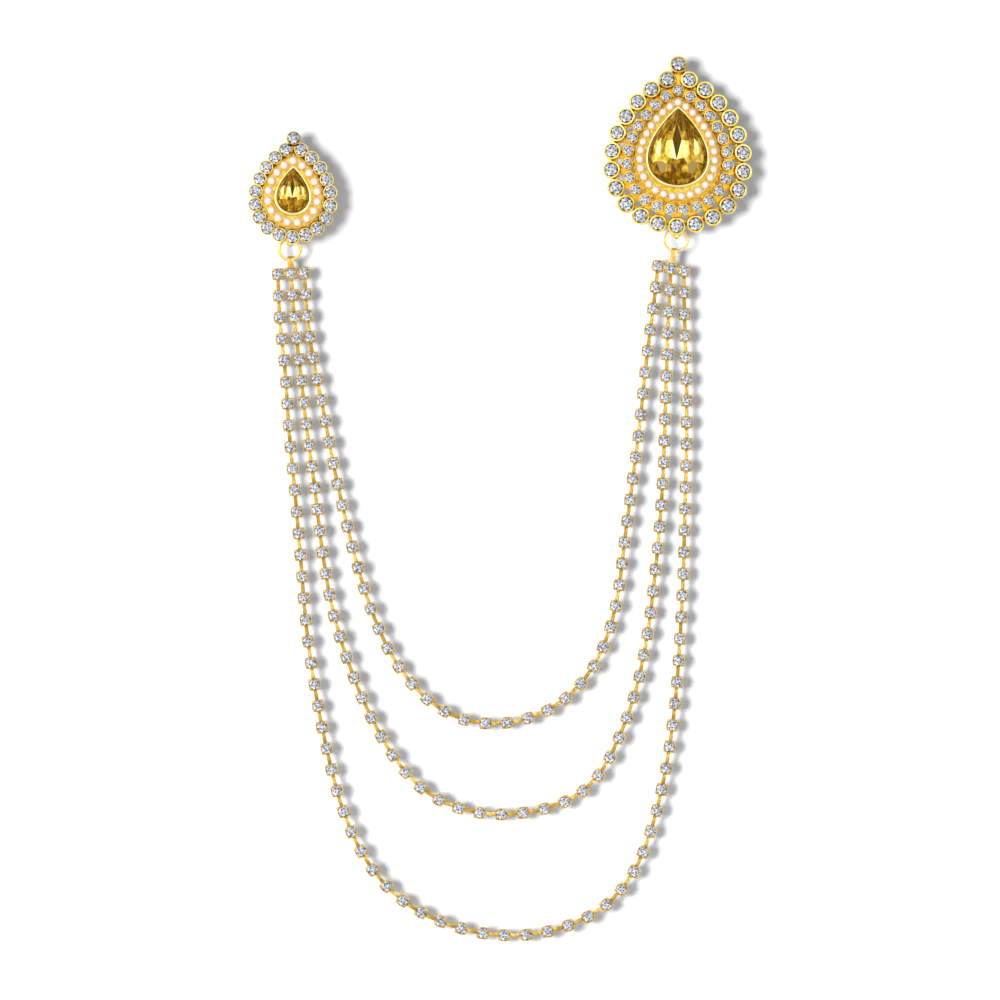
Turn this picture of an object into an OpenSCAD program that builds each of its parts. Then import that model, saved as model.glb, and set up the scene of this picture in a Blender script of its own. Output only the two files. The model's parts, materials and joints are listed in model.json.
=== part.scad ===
// A lapel chain: a large and a small pear-shaped brooch joined by three swags of cup chain.
// The pin stem of the large brooch is the origin, +Z is up and the stones face -Y.
// It keeps the form in which it hangs from its two pins. Lengths are in millimetres.
// Most pieces are drawn lying on their backs: x to the right, y up the face, z the height towards
// the viewer, counted from the pin stems. upright() then stands them in the hanging frame.

/* [Large brooch] */
// Width of the ring of outer cups, centre to centre
large_ring_w = 36.3; // [35:0.1:40]
// Height of the ring of outer cups, centre to centre
large_ring_h = 41.2; // [40:0.1:45]
// Outer cups in the ring, without the one at the tip
large_count = 23; // [19:1:23]
// Run of the ring left free under the cup at the tip
large_tip_gap = 6.0; // [5.5:0.1:8]
// Rise of the tip cup's centre above the top of the ring
large_tip_rise = 3.3; // [3.3:0.1:5]
// Outer diameter of an outer cup
large_cup_d = 5.2; // [4.6:0.1:5.2]
// Diameter of an outer stone
large_stone_d = 3.8; // [3:0.1:4]
// Clockwise lean of the brooch, in degrees
large_lean = 0.8; // [0:0.1:3]

/* [Large brooch, inner ring] */
// Distance of the ring of inner cups inside the outer one, at the flanks
inner_inset_w = 4.35; // [4.2:0.05:4.7]
// Distance of the ring of inner cups inside the outer one, at the tip and the foot
inner_inset_h = 4.1; // [3.9:0.05:4.5]
// Inner cups in the ring
inner_count = 25; // [20:1:25]
// Outer diameter of an inner cup
inner_cup_d = 3.5; // [3.2:0.1:3.6]
// Diameter of an inner stone
inner_stone_d = 2.6; // [2:0.1:2.7]

/* [Large brooch, pearls and centre] */
// Distance of the ring of pearls inside the ring of inner cups
large_pearl_inset = 3.3; // [3:0.05:3.4]
// Pearls in the ring
large_pearl_count = 29; // [24:1:29]
// Diameter of a pearl
large_pearl_d = 2.2; // [1.8:0.05:2.3]
// Distance of the centre stone's flanks inside the ring of pearls
large_gem_inset_w = 2.45; // [2.3:0.05:3.4]
// Distance of the centre stone's tip and foot inside the ring of pearls
large_gem_inset_h = 2.7; // [2.5:0.05:3.6]
// Wall of the bezel round the centre stone
large_bezel_wall = 0.7; // [0.6:0.05:1]

/* [Small brooch] */
// How far the small brooch's middle lies to the left of the large one's
small_left = 107.7; // [104:0.1:112]
// How far the small brooch's middle lies below the large one's
small_drop = 11.9; // [8:0.1:16]
// Width of the ring of cups, centre to centre
small_ring_w = 20.3; // [19.8:0.1:22]
// Height of the ring of cups, centre to centre
small_ring_h = 24.4; // [24:0.1:26]
// Cups in the ring, without the one at the tip
small_count = 19; // [15:1:19]
// Run of the ring left free under the cup at the tip
small_tip_gap = 4.2; // [4:0.1:5]
// Rise of the tip cup's centre above the top of the ring
small_tip_rise = 2.5; // [2.4:0.1:3.6]
// Outer diameter of a cup
small_cup_d = 4.2; // [3.9:0.1:4.4]
// Diameter of a stone
small_stone_d = 3.2; // [2.6:0.1:3.3]
// Clockwise lean of the brooch, in degrees
small_lean = 0.8; // [0:0.1:3]

/* [Small brooch, pearls and centre] */
// Distance of the ring of pearls inside the ring of cups, at the flanks
small_pearl_inset_w = 3.2; // [3.05:0.05:3.3]
// Distance of the ring of pearls inside the ring of cups, at the tip and the foot
small_pearl_inset_h = 3.5; // [3.3:0.05:3.7]
// Pearls in the ring
small_pearl_count = 17; // [13:1:17]
// Diameter of a pearl
small_pearl_d = 2.35; // [1.8:0.05:2.4]
// Distance of the centre stone inside the ring of pearls
small_gem_inset = 2.55; // [2.45:0.05:3.1]
// Wall of the bezel round the centre stone
small_bezel_wall = 0.8; // [0.6:0.05:1]

/* [Brooch relief] */
// Thickness of the pierced back plate
plate_t = 0.8; // [0.6:0.1:1.2]
// Height of an outer cup along its own axis
outer_cup_h = 2.4; // [2:0.1:3]
// Height of an inner cup along its own axis
inner_cup_h = 2.8; // [2.4:0.1:3.2]
// Outward lean of the outer cups, in degrees
outer_splay = 12; // [0:1:16]
// Outward lean of the inner cups, in degrees
inner_splay = 8; // [0:1:12]
// Lift of the cups' base centres above the back
cup_lift = 0.4; // [0.2:0.05:0.6]
// Depth of the seat that a stone sits in
seat_depth = 0.7; // [0.5:0.05:1]
// Height of the pearls' floor above the back
pearl_floor_h = 1.7; // [1.4:0.1:2.2]
// Height of the rim round the pearls above their floor
pearl_rim_h = 0.6; // [0.4:0.05:0.7]
// Width of the rim round the pearls
pearl_rim_w = 0.35; // [0.3:0.05:0.5]
// Neck that joins one pearl to the next
pearl_neck_d = 0.7; // [0.5:0.05:1]
// Height of the large bezel above the back
large_bezel_h = 4.2; // [3.6:0.1:5]
// Height of the small bezel above the back
small_bezel_h = 3.4; // [3:0.1:4]
// Floor left under a centre stone
gem_floor_t = 0.9; // [0.6:0.05:1.2]
// Diameter of a pierced gap in the large brooch
large_gap_d = 2.2; // [1.6:0.1:2.4]
// Distance of those gaps inside the ring of outer cups
large_gap_inset = 2.3; // [2:0.1:2.6]
// Diameter of a pierced gap between the inner cups and the pearls
inner_gap_d = 0.8; // [0.6:0.1:0.9]
// Distance of those gaps inside the ring of inner cups
inner_gap_inset = 1.3; // [1.2:0.05:1.4]
// Diameter of a pierced gap in the small brooch
small_gap_d = 1.2; // [0.8:0.1:1.3]
// Distance of those gaps inside the ring of cups
small_gap_inset = 1.9; // [1.7:0.1:2.1]

/* [Pins] */
// Length of the large brooch's pin bar
large_pin_l = 22; // [18:1:24]
// Length of the small brooch's pin bar
small_pin_l = 14.5; // [13:0.5:16]
// Width of a pin bar
pin_bar_w = 3.4; // [2.8:0.1:4]
// Thickness of a pin bar
pin_bar_t = 0.7; // [0.6:0.05:1]
// Diameter of a pin stem
pin_stem_d = 0.8; // [0.7:0.05:1]
// Clear gap for cloth between stem and bar
pin_gap = 4.4; // [4.3:0.1:6]
// Length of the post at each end of a pin
pin_post_l = 1.4; // [1.2:0.1:2]

/* [Rings and lugs] */
// Radius of the large jump ring to the middle of its wire
large_link_r = 3.26; // [3:0.02:3.6]
// Wire of the large jump ring
large_link_wire = 0.64; // [0.5:0.02:0.8]
// Radius of the small jump ring to the middle of its wire
small_link_r = 2.93; // [2.7:0.01:3.2]
// Wire of the small jump ring
small_link_wire = 0.9; // [0.7:0.02:1]
// Saw cut where a jump ring's ends meet
link_cut = 0.15; // [0.1:0.05:0.3]
// Play round the wire in a bail and in a lug's eye
wire_play = 0.25; // [0.25:0.05:0.4]
// Width of the eye behind a lug
eye_w = 1.4; // [1:0.1:1.5]
// Wall of the eye behind a lug
eye_wall = 0.4; // [0.3:0.05:0.6]
// Distance of the large eye below the foot of its brooch's ring of cups
large_eye_drop = 0.8; // [0.2:0.1:1.6]
// Distance of the small eye below the foot of its brooch's ring of cups
small_eye_drop = 0.7; // [0.3:0.1:1.2]
// Width of the large tongue that hides the eye
large_tongue_w = 3.2; // [2.6:0.1:3.6]
// Reach of the large tongue below its eye
large_tongue_l = 3.2; // [2.6:0.1:3.6]
// Width of the small tongue
small_tongue_w = 2.6; // [2:0.1:3]
// Reach of the small tongue below its eye
small_tongue_l = 2.4; // [1.8:0.1:2.6]
// Thickness of a tongue
tongue_t = 1.3; // [1:0.1:1.6]

/* [Cup chain] */
// Side of a square cup
cup_w = 3.4; // [3.2:0.05:3.6]
// Depth of a cup to the tips of its prongs
cup_depth = 2.4; // [2.2:0.1:3]
// Depth of a prong
prong_h = 0.5; // [0.4:0.05:0.6]
// Wall of a cup round its hollow
cup_wall = 0.3; // [0.25:0.01:0.35]
// Floor of a cup behind its hollow
cup_floor = 0.35; // [0.3:0.05:0.5]
// Diameter of a chain stone
chain_stone_d = 3.0; // [2.4:0.05:3.2]
// Distance from one cup to the next along the chain
chain_pitch = 6.05; // [5.8:0.05:7]
// Width of the strip that ties one cup to the next
strip_w = 0.85; // [0.7:0.05:1]
// Thickness of that strip
strip_t = 0.6; // [0.5:0.05:0.7]
// Width of the strip's cross head
head_w = 2.15; // [2:0.05:2.2]
// Length of the strip's cross head
head_l = 0.45; // [0.35:0.05:0.6]
// Play between the cross head and the wall that holds it
head_play = 0.3; // [0.25:0.05:0.4]
// Play of the strip in its slot, each side
strip_play = 0.45; // [0.44:0.01:0.5]

/* [Headers] */
// Gap between neighbouring cups of a header
header_gap = 0.32; // [0.3:0.02:0.6]
// Lean of the large brooch's header, clockwise, in degrees
large_header_lean = 10.5; // [0:0.5:12]
// Lean of the small brooch's header, anticlockwise, in degrees
small_header_lean = 3.2; // [0:0.1:6]
// Width of a header's bail
bail_w = 1.5; // [1:0.1:1.6]
// Wall of a header's bail
bail_wall = 0.35; // [0.3:0.05:0.5]
// Length of the large header's bail above its cup
large_bail_l = 4.1; // [3.6:0.1:5]
// Length of the small header's bail above its cup
small_bail_l = 3.2; // [3:0.1:4]
// Width of the bar that joins a header's cups
header_bar_w = 1.2; // [1:0.1:1.6]

/* [Hidden] */
$fn = 32;

// Routes of the strands on the face plane, from the small brooch's header to the large one's,
// as x and height from the large pin. They are chosen by hand for header cups that lie at the ENDS,
// and each route moves along with its own header cups.
ENDS_INNER = [[-104.39, -34.28], [-5.44, -32.18]];
ENDS_MIDDLE = [[-108.1, -34.49], [-1.78, -32.86]];
ENDS_OUTER = [[-111.82, -34.7], [1.87, -33.54]];
ROUTE_INNER = [[-103.7, -46], [-101.9, -59], [-99.3, -72], [-96.7, -86], [-93.5, -101], [-90, -115],
    [-85.5, -129.5], [-79.5, -142.5], [-71, -153], [-60.5, -159.3], [-48.5, -160.4], [-36, -156.6],
    [-26.5, -148.5], [-20.5, -138], [-17, -125.5], [-15, -110], [-13, -95], [-11, -80],
    [-9.5, -66], [-8, -53], [-6.5, -42]];
ROUTE_MIDDLE = [[-107.3, -46.5], [-105.5, -62], [-103.8, -78], [-101.5, -95], [-99.5, -112],
    [-96.5, -129], [-92, -144], [-86, -158.5], [-78, -172], [-68.5, -181], [-56, -185.5],
    [-42.5, -185.4], [-30.2, -181.7], [-21.7, -174.2], [-16, -163], [-11.5, -150], [-8.5, -135],
    [-6.5, -119.5], [-5, -104], [-4, -89], [-3.5, -74], [-3, -60], [-2.5, -46]];
ROUTE_OUTER = [[-111.3, -47.5], [-109.8, -62], [-108.8, -78], [-107.1, -96], [-105.5, -114.5], [-104, -133],
    [-101.5, -151], [-98, -169], [-93.5, -185.5], [-86.5, -200], [-76.5, -210.5], [-63.5, -217],
    [-48.5, -219.8], [-33.5, -217.9], [-20.5, -211.5], [-12, -201], [-7, -188], [-3.5, -173],
    [-1, -156], [0.5, -137], [1.5, -118], [2, -100], [2.5, -82], [2.5, -64], [2, -48]];

fit_gap = 0.13; // clearance of a small stone, pearl or pin bar from what carries it
gem_gap = 0.16; // clearance of a centre stone from its bezel, all round
eps = 0.02; // overlap that makes a cut run past a face
blunt_ratio = 0.4; // pointedness of the rings that have blunt tips
keen_ratio = 0.55; // pointedness of the rings next to the centre stone
sharp_ratio = 0.9; // pointedness of a centre stone
outline_steps = 48; // sides of a pear outline
gem_steps = 16; // facets round a centre stone
ring_steps = 180; // steps that measure the run of a ring
route_steps = 16; // steps in each stretch of a route
crown_share = 0.17; // height of a small stone's crown, as a share of its diameter
table_share = 0.58; // width of a stone's table, as a share of its diameter

back_h = pin_stem_d / 2 + pin_gap + pin_bar_t + fit_gap; // height of the brooches' backs
hang_h = back_h - 1.1; // height of the plane that the rings, headers and strands hang in
large_ring_y = -0.2; // middle of each ring above the middle of its brooch
inner_ring_y = 0.1;
large_pearl_ring_y = 0.3;
large_gem_y = 0.9;
small_pearl_ring_y = 0.1;
small_gem_y = 0.4;
large_eye_x = 0; // where the eyes sit across their brooches
small_eye_x = -0.6;

large_tip_y = large_ring_h / 2 + large_ring_y + large_tip_rise;
inner_ring_w = large_ring_w - 2 * inner_inset_w;
inner_ring_h = large_ring_h - 2 * inner_inset_h;
large_pearl_ring_w = inner_ring_w - 2 * large_pearl_inset;
large_pearl_ring_h = inner_ring_h - 2 * large_pearl_inset;
large_gem_w = large_pearl_ring_w - 2 * large_gem_inset_w;
large_gem_h = large_pearl_ring_h - 2 * large_gem_inset_h;
large_eye_y = large_ring_h / 2 - large_ring_y + large_eye_drop;
small_tip_y = small_ring_h / 2 + small_tip_rise;
small_pearl_ring_w = small_ring_w - 2 * small_pearl_inset_w;
small_pearl_ring_h = small_ring_h - 2 * small_pearl_inset_h;
small_gem_w = small_pearl_ring_w - 2 * small_gem_inset;
small_gem_h = small_pearl_ring_h - 2 * small_gem_inset;
small_eye_y = small_ring_h / 2 + small_eye_drop;
header_pitch = cup_w + header_gap;

stone_seat_play = fit_gap;
girdle_t = seat_depth - stone_seat_play - 0.1; // side wall of a small stone in its cup
cup_hollow_w = cup_w - 2 * cup_wall;
stone_z = cup_depth - prong_h; // where a chain stone lies in its cup
strip_z = cup_floor + 0.2; // the strip's back face in a cup
cup_hollow_h = strip_t + 0.4;
slot_w = strip_w + 2 * strip_play;

// Pear outlines. Seen from the tip, t runs clockwise from 0 to 360 degrees: the height falls as
// cos(t) and the half width grows as sin(t) times sin(t / 2) raised to the pointedness.
function pear_peak(point) = 2 * pow((point + 1) / (point + 2), (point + 1) / 2) / sqrt(point + 2);
function pear_at(t, w, h, point) =
    [w / 2 / pear_peak(point) * sin(t) * pow(abs(sin(t / 2)), point), h / 2 * cos(t)];
function pear(w, h, point, steps) = [for (i = [0:steps - 1]) pear_at(360 * i / steps, w, h, point)];

// Runs along a path: tables that give x and y for a length along it, and its whole length.
function lengths(p) = [for (i = 0, s = 0; i < len(p);
    s = s + (i + 1 < len(p) ? norm(p[i + 1] - p[i]) : 0), i = i + 1) s];
function run_of(p) = let (s = lengths(p))
    [[for (i = [0:len(p) - 1]) [s[i], p[i].x]], [for (i = [0:len(p) - 1]) [s[i], p[i].y]],
        s[len(p) - 1]];
function spot(run, s) = [lookup(s, run[0]), lookup(s, run[1])];
function angle_of(v) = atan2(v.y, v.x);
function turned(v, a) = [v.x * cos(a) - v.y * sin(a), v.x * sin(a) + v.y * cos(a)];

// Places of count cups round a pear ring, each as x, y and the outward direction. A ring with a gap
// starts and ends half the gap from the tip, and one without has a cup at the tip.
function pear_run(w, h, point) =
    run_of([for (i = [0:ring_steps]) pear_at(360 * i / ring_steps, w, h, point)]);
function outward(run, s) = let (d = 0.2, ahead = s + d, behind = s < d ? run[2] + s - d : s - d)
    angle_of(spot(run, ahead) - spot(run, behind)) + 90;
function ring_place(run, s, y) = let (p = spot(run, s)) [p.x, p.y + y, outward(run, s)];
function gapped_ring(run, count, gap, y, shift = 0) =
    [for (i = [0:count - 1 - (shift > 0 ? 1 : 0)])
        ring_place(run, gap / 2 + (i + shift) * (run[2] - gap) / (count - 1), y)];
function full_ring(run, count, y) = [for (i = [0:count - 1]) ring_place(run, i * run[2] / count, y)];
function inset(place, by) =
    [place.x - by * cos(place.z), place.y - by * sin(place.z), place.z];

large_run = pear_run(large_ring_w, large_ring_h, blunt_ratio);
large_tip = [0, large_tip_y, 90];
large_places = concat([large_tip], gapped_ring(large_run, large_count, large_tip_gap, large_ring_y));
large_gaps = [for (p = gapped_ring(large_run, large_count, large_tip_gap, large_ring_y, 0.5))
    inset(p, large_gap_inset)];
inner_run = pear_run(inner_ring_w, inner_ring_h, keen_ratio);
inner_places = full_ring(inner_run, inner_count, inner_ring_y);
inner_gaps = [for (i = [0:inner_count - 1])
    inset(ring_place(inner_run, (i + 0.5) * inner_run[2] / inner_count, inner_ring_y), inner_gap_inset)];
large_pearl_places = full_ring(pear_run(large_pearl_ring_w, large_pearl_ring_h, keen_ratio),
    large_pearl_count, large_pearl_ring_y);
small_run = pear_run(small_ring_w, small_ring_h, blunt_ratio);
small_tip = [0, small_tip_y, 90];
small_places = concat([small_tip], gapped_ring(small_run, small_count, small_tip_gap, 0));
small_gaps = [for (p = gapped_ring(small_run, small_count, small_tip_gap, 0, 0.5))
    inset(p, small_gap_inset)];
small_pearl_places = full_ring(pear_run(small_pearl_ring_w, small_pearl_ring_h, blunt_ratio),
    small_pearl_count, small_pearl_ring_y);

// Where the jump rings and headers hang on the face plane.
small_middle = [-small_left, -small_drop];
large_eye = turned([large_eye_x, -large_eye_y], -large_lean);
small_eye = small_middle + turned([small_eye_x, -small_eye_y], -small_lean);
large_link_at = large_eye - [0, large_link_r];
small_link_at = small_eye - [0, small_link_r];
function header_middle(link_at, link_r, wire, bail_l, lean) = link_at
    - turned([0, link_r + cup_w / 2 + bail_l - bail_wall - wire_play - wire / 2], lean);
large_header_at = header_middle(large_link_at, large_link_r, large_link_wire, large_bail_l,
    -large_header_lean);
small_header_at = header_middle(small_link_at, small_link_r, small_link_wire, small_bail_l,
    small_header_lean);
function large_cup(k) = large_header_at + turned([k * header_pitch, 0], -large_header_lean);
function small_cup(k) = small_header_at + turned([k * header_pitch, 0], small_header_lean);

// A route's points, each moved as the header cups at its two ends have moved, by its share of the way.
function led(route, ends, from, to) = let (n = len(route) + 1) [for (i = [1:n - 1])
    route[i - 1] + (1 - i / n) * (from - ends[0]) + i / n * (to - ends[1])];

// A strand's cups lie at equal lengths along a smooth curve through its route's points.
function smooth(a, b, c, d, t) = (2 * b + (c - a) * t + (2 * a - 5 * b + 4 * c - d) * t * t
    + (3 * b - a - 3 * c + d) * t * t * t) / 2;
function curve(p) = concat([for (i = [0:len(p) - 2]) for (k = [0:route_steps - 1])
    smooth(p[max(i - 1, 0)], p[i], p[i + 1], p[min(i + 2, len(p) - 1)], k / route_steps)],
    [p[len(p) - 1]]);
function strand(from, route, ends, to) =
    let (run = run_of(curve(concat([from], led(route, ends, from, to), [to]))),
    n = round(run[2] / chain_pitch)) [for (i = [0:n]) spot(run, i * run[2] / n)];
inner_cups = strand(small_cup(1), ROUTE_INNER, ENDS_INNER, large_cup(-1));
middle_cups = strand(small_cup(0), ROUTE_MIDDLE, ENDS_MIDDLE, large_cup(0));
outer_cups = strand(small_cup(-1), ROUTE_OUTER, ENDS_OUTER, large_cup(1));

// Frames of reference.
module upright() {
    rotate([90, 0, 0]) children();
}

module on_large() {
    upright() rotate(-large_lean) children();
}

module on_small() {
    upright() translate([small_middle.x, small_middle.y, 0]) rotate(-small_lean) children();
}

module at_places(places, lift, splay) {
    for (p = places) translate([p.x, p.y, lift]) rotate(p.z) rotate([0, splay, 0]) children();
}

// A block of pear outline between two heights.
module pear_block(w, h, point, y, low, high) {
    translate([0, y, low]) linear_extrude(high - low) polygon(pear(w, h, point, outline_steps));
}

// A small cut stone: eight sides, eight crown facets and a table, its back at z = 0.
module cut_stone(d) {
    cylinder(d = d, h = girdle_t, $fn = 8);
    translate([0, 0, girdle_t])
        cylinder(d1 = d, d2 = table_share * d, h = crown_share * d, $fn = 8);
}

module stones_in_cups(places, splay, cup_h, d) {
    at_places(places, back_h + cup_lift, splay)
        translate([0, 0, cup_h - seat_depth + stone_seat_play]) cut_stone(d);
}

module cup_seats(places, splay, cup_h, stone_d) {
    at_places(places, back_h + cup_lift, splay) translate([0, 0, cup_h - seat_depth])
        cylinder(d = stone_d + 2 * fit_gap, h = seat_depth + 1);
}

// A ring of cups. Neighbours may share their walls, so each cup is cut by every seat near it.
function near(places, p, reach) = [for (q = places) if (norm([q.x - p.x, q.y - p.y]) < reach) q];
module set_cups(places, splay, cup_h, d, stone_d) {
    for (p = places) difference() {
        at_places([p], back_h + cup_lift, splay) cylinder(d = d, h = cup_h);
        cup_seats(near(places, p, d), splay, cup_h, stone_d);
    }
}

module pierced(places, d) {
    for (p = places) translate([p.x, p.y, back_h - 1]) cylinder(d = d, h = plate_t + 3);
}

// The pearls' floor with its outer rim, and the bezel round the centre stone.
module centre_body(ring_w, ring_h, point, ring_y, pearl_d, gem_w, gem_h, gem_y, wall, bezel_h) {
    w = ring_w + pearl_d + 2 * fit_gap;
    h = ring_h + pearl_d + 2 * fit_gap;
    floor_h = back_h + pearl_floor_h;
    pear_block(w, h, point, ring_y, back_h, floor_h);
    difference() {
        pear_block(w + 2 * pearl_rim_w, h + 2 * pearl_rim_w, point, ring_y, back_h,
            floor_h + pearl_rim_h);
        pear_block(w, h, point, ring_y, back_h - 1, floor_h + pearl_rim_h + 1);
    }
    pear_block(gem_w + 2 * (gem_gap + wall), gem_h + 2 * (gem_gap + wall), sharp_ratio, gem_y, back_h,
        back_h + bezel_h);
}

module gem_hollow(gem_w, gem_h, gem_y, bezel_h) {
    pear_block(gem_w + 2 * gem_gap, gem_h + 2 * gem_gap, sharp_ratio, gem_y, back_h + gem_floor_t,
        back_h + bezel_h + 1);
}

// The cup at the tip stands on a narrow neck of the plate.
module tip_neck(tip_y, ring_h, cup_d) {
    neck_w = cup_d / 2;
    translate([-neck_w / 2, ring_h / 2 - cup_d, back_h])
        cube([neck_w, tip_y - ring_h / 2 + cup_d, plate_t + 2 * cup_lift]);
}

// The eye that a jump ring hangs in, behind the lowest cup, and the tongue in front of it.
module lug(x, y, wire, tongue_w, tongue_l) {
    bore_r = wire / 2 + wire_play;
    tip_r = tongue_w / 4;
    translate([x, -y, 0]) {
        difference() {
            union() {
                translate([0, 0, hang_h]) rotate([0, 90, 0])
                    cylinder(r = bore_r + eye_wall, h = eye_w, center = true);
                translate([-eye_w / 2, -bore_r, hang_h + bore_r])
                    cube([eye_w, 2 * bore_r, back_h + 2 * cup_lift - hang_h]);
            }
            translate([0, 0, hang_h]) rotate([0, 90, 0])
                cylinder(r = bore_r, h = eye_w + 1, center = true);
        }
        translate([0, 0, back_h + cup_lift / 2]) linear_extrude(tongue_t) hull() {
            translate([-tongue_w / 2, -0.2]) square([tongue_w, 0.4]);
            translate([0, tip_r - tongue_l]) circle(tip_r);
        }
    }
}

module large_frame() color("gold") on_large() {
    difference() {
        union() {
            pear_block(large_ring_w, large_ring_h, blunt_ratio, large_ring_y, back_h, back_h + plate_t);
            tip_neck(large_tip_y, large_ring_h, large_cup_d);
            centre_body(large_pearl_ring_w, large_pearl_ring_h, keen_ratio, large_pearl_ring_y,
                large_pearl_d, large_gem_w, large_gem_h, large_gem_y, large_bezel_wall, large_bezel_h);
        }
        pierced(large_gaps, large_gap_d);
        pierced(inner_gaps, inner_gap_d);
        gem_hollow(large_gem_w, large_gem_h, large_gem_y, large_bezel_h);
    }
    set_cups(large_places, outer_splay, outer_cup_h, large_cup_d, large_stone_d);
    set_cups(inner_places, inner_splay, inner_cup_h, inner_cup_d, inner_stone_d);
    lug(large_eye_x, large_eye_y, large_link_wire, large_tongue_w, large_tongue_l);
}

module small_frame() color("gold") on_small() {
    difference() {
        union() {
            pear_block(small_ring_w, small_ring_h, blunt_ratio, 0, back_h, back_h + plate_t);
            tip_neck(small_tip_y, small_ring_h, small_cup_d);
            centre_body(small_pearl_ring_w, small_pearl_ring_h, blunt_ratio, small_pearl_ring_y,
                small_pearl_d, small_gem_w, small_gem_h, small_gem_y, small_bezel_wall, small_bezel_h);
        }
        pierced(small_gaps, small_gap_d);
        gem_hollow(small_gem_w, small_gem_h, small_gem_y, small_bezel_h);
    }
    set_cups(small_places, outer_splay, outer_cup_h, small_cup_d, small_stone_d);
    lug(small_eye_x, small_eye_y, small_link_wire, small_tongue_w, small_tongue_l);
}

// A pear stone lofted through level outlines, each a share of its size at a share of its depth.
// The shares are the culet, the girdle's two edges, the star facets and the table.
GEM_LEVELS = [[0.18, 0], [1, 0.5], [1, 0.58], [0.84, 0.8], [0.6, 1]];
module pear_stone(w, h, depth) {
    rows = len(GEM_LEVELS);
    outline = pear(w, h, sharp_ratio, gem_steps);
    points = [for (level = GEM_LEVELS) for (p = outline)
        [p.x * level[0], p.y * level[0], depth * level[1]]];
    bands = [for (r = [0:rows - 2]) for (i = [0:gem_steps - 1])
        let (a = r * gem_steps, j = (i + 1) % gem_steps)
        [a + i, a + gem_steps + i, a + gem_steps + j, a + j]];
    back = [for (i = [0:gem_steps - 1]) i];
    table = [for (i = [gem_steps - 1:-1:0]) (rows - 1) * gem_steps + i];
    polyhedron(points, concat(bands, [back, table]));
}

module seated_gem(w, h, y, bezel_h) {
    depth = bezel_h - gem_floor_t + crown_share * w / 2;
    translate([0, y, back_h + gem_floor_t + gem_gap]) pear_stone(w, h, depth);
}

module large_centre_stone() color("goldenrod") on_large()
    seated_gem(large_gem_w, large_gem_h, large_gem_y, large_bezel_h);

module small_centre_stone() color("goldenrod") on_small()
    seated_gem(small_gem_w, small_gem_h, small_gem_y, small_bezel_h);

module large_outer_stones() color("lightsteelblue") on_large()
    stones_in_cups(large_places, outer_splay, outer_cup_h, large_stone_d);

module large_inner_stones() color("lightsteelblue") on_large()
    stones_in_cups(inner_places, inner_splay, inner_cup_h, inner_stone_d);

module small_stones() color("lightsteelblue") on_small()
    stones_in_cups(small_places, outer_splay, outer_cup_h, small_stone_d);

// Pearls on their floor, each joined to the next by a short neck as on a cast strip of pearls.
module pearl_ring(places, d) {
    z = back_h + pearl_floor_h + fit_gap + d / 2;
    n = len(places);
    for (i = [0:n - 1]) {
        here = [places[i].x, places[i].y];
        next = places[(i + 1) % n];
        step = [next.x, next.y] - here;
        translate([here.x, here.y, z]) {
            sphere(d = d);
            rotate(angle_of(step)) rotate([0, 90, 0]) cylinder(d = pearl_neck_d, h = norm(step));
        }
    }
}

module large_pearls() color("seashell") on_large() pearl_ring(large_pearl_places, large_pearl_d);

module small_pearls() color("seashell") on_small() pearl_ring(small_pearl_places, small_pearl_d);

// A bar pin: the bar on the brooch's back, a post at each end and the stem between them.
module bar_pin(l) {
    upright() {
        translate([-l / 2, -pin_bar_w / 2, back_h - fit_gap - pin_bar_t])
            cube([l, pin_bar_w, pin_bar_t]);
        for (side = [-1, 1]) translate([side * (l - pin_post_l) / 2 - pin_post_l / 2,
            -pin_bar_w / 4, -pin_stem_d]) cube([pin_post_l, pin_bar_w / 2, back_h - fit_gap + pin_stem_d]);
        rotate([0, 90, 0]) cylinder(d = pin_stem_d, h = l - pin_post_l, center = true);
    }
}

module large_pin() color("gold") bar_pin(large_pin_l);

module small_pin() color("gold") translate([small_middle.x, 0, small_middle.y]) bar_pin(small_pin_l);

// A jump ring of round wire, cut through at one side.
module jump_ring(at, r, wire) {
    open_deg = 360 * link_cut / (2 * PI * r);
    upright() translate([at.x, at.y, hang_h]) rotate(25) rotate_extrude(angle = 360 - open_deg)
        translate([r, 0]) circle(d = wire);
}

module large_jump_ring() color("gold") jump_ring(large_link_at, large_link_r, large_link_wire);

module small_jump_ring() color("gold") jump_ring(small_link_at, small_link_r, small_link_wire);

// A chain cup with its stone. The chain runs along x, and z = 0 is the cup's back. A slotted cup has a
// hollow that is open to -x, where the strip of the cup before it comes in.
module chain_cup(slotted) {
    color("gold") difference() {
        translate([-cup_w / 2, -cup_w / 2, 0]) cube([cup_w, cup_w, cup_depth]);
        translate([0, 0, stone_z]) rotate(22.5)
            cylinder(r = (cup_w / 2 + eps) / cos(22.5), h = prong_h + 1, $fn = 8);
        if (slotted) translate([0, 0, cup_floor]) linear_extrude(cup_hollow_h)
            polygon([[-cup_w / 2 - 1, -slot_w / 2], [-cup_hollow_w / 2, -slot_w / 2],
                [-cup_hollow_w / 2, -cup_hollow_w / 2], [cup_hollow_w / 2, -cup_hollow_w / 2],
                [cup_hollow_w / 2, cup_hollow_w / 2], [-cup_hollow_w / 2, cup_hollow_w / 2],
                [-cup_hollow_w / 2, slot_w / 2], [-cup_w / 2 - 1, slot_w / 2]]);
    }
    color("lightsteelblue") translate([0, 0, stone_z]) rotate(22.5)
        cylinder(d1 = chain_stone_d / cos(22.5), d2 = table_share * chain_stone_d / cos(22.5),
            h = crown_share * chain_stone_d + prong_h / 2, $fn = 8);
}

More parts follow.
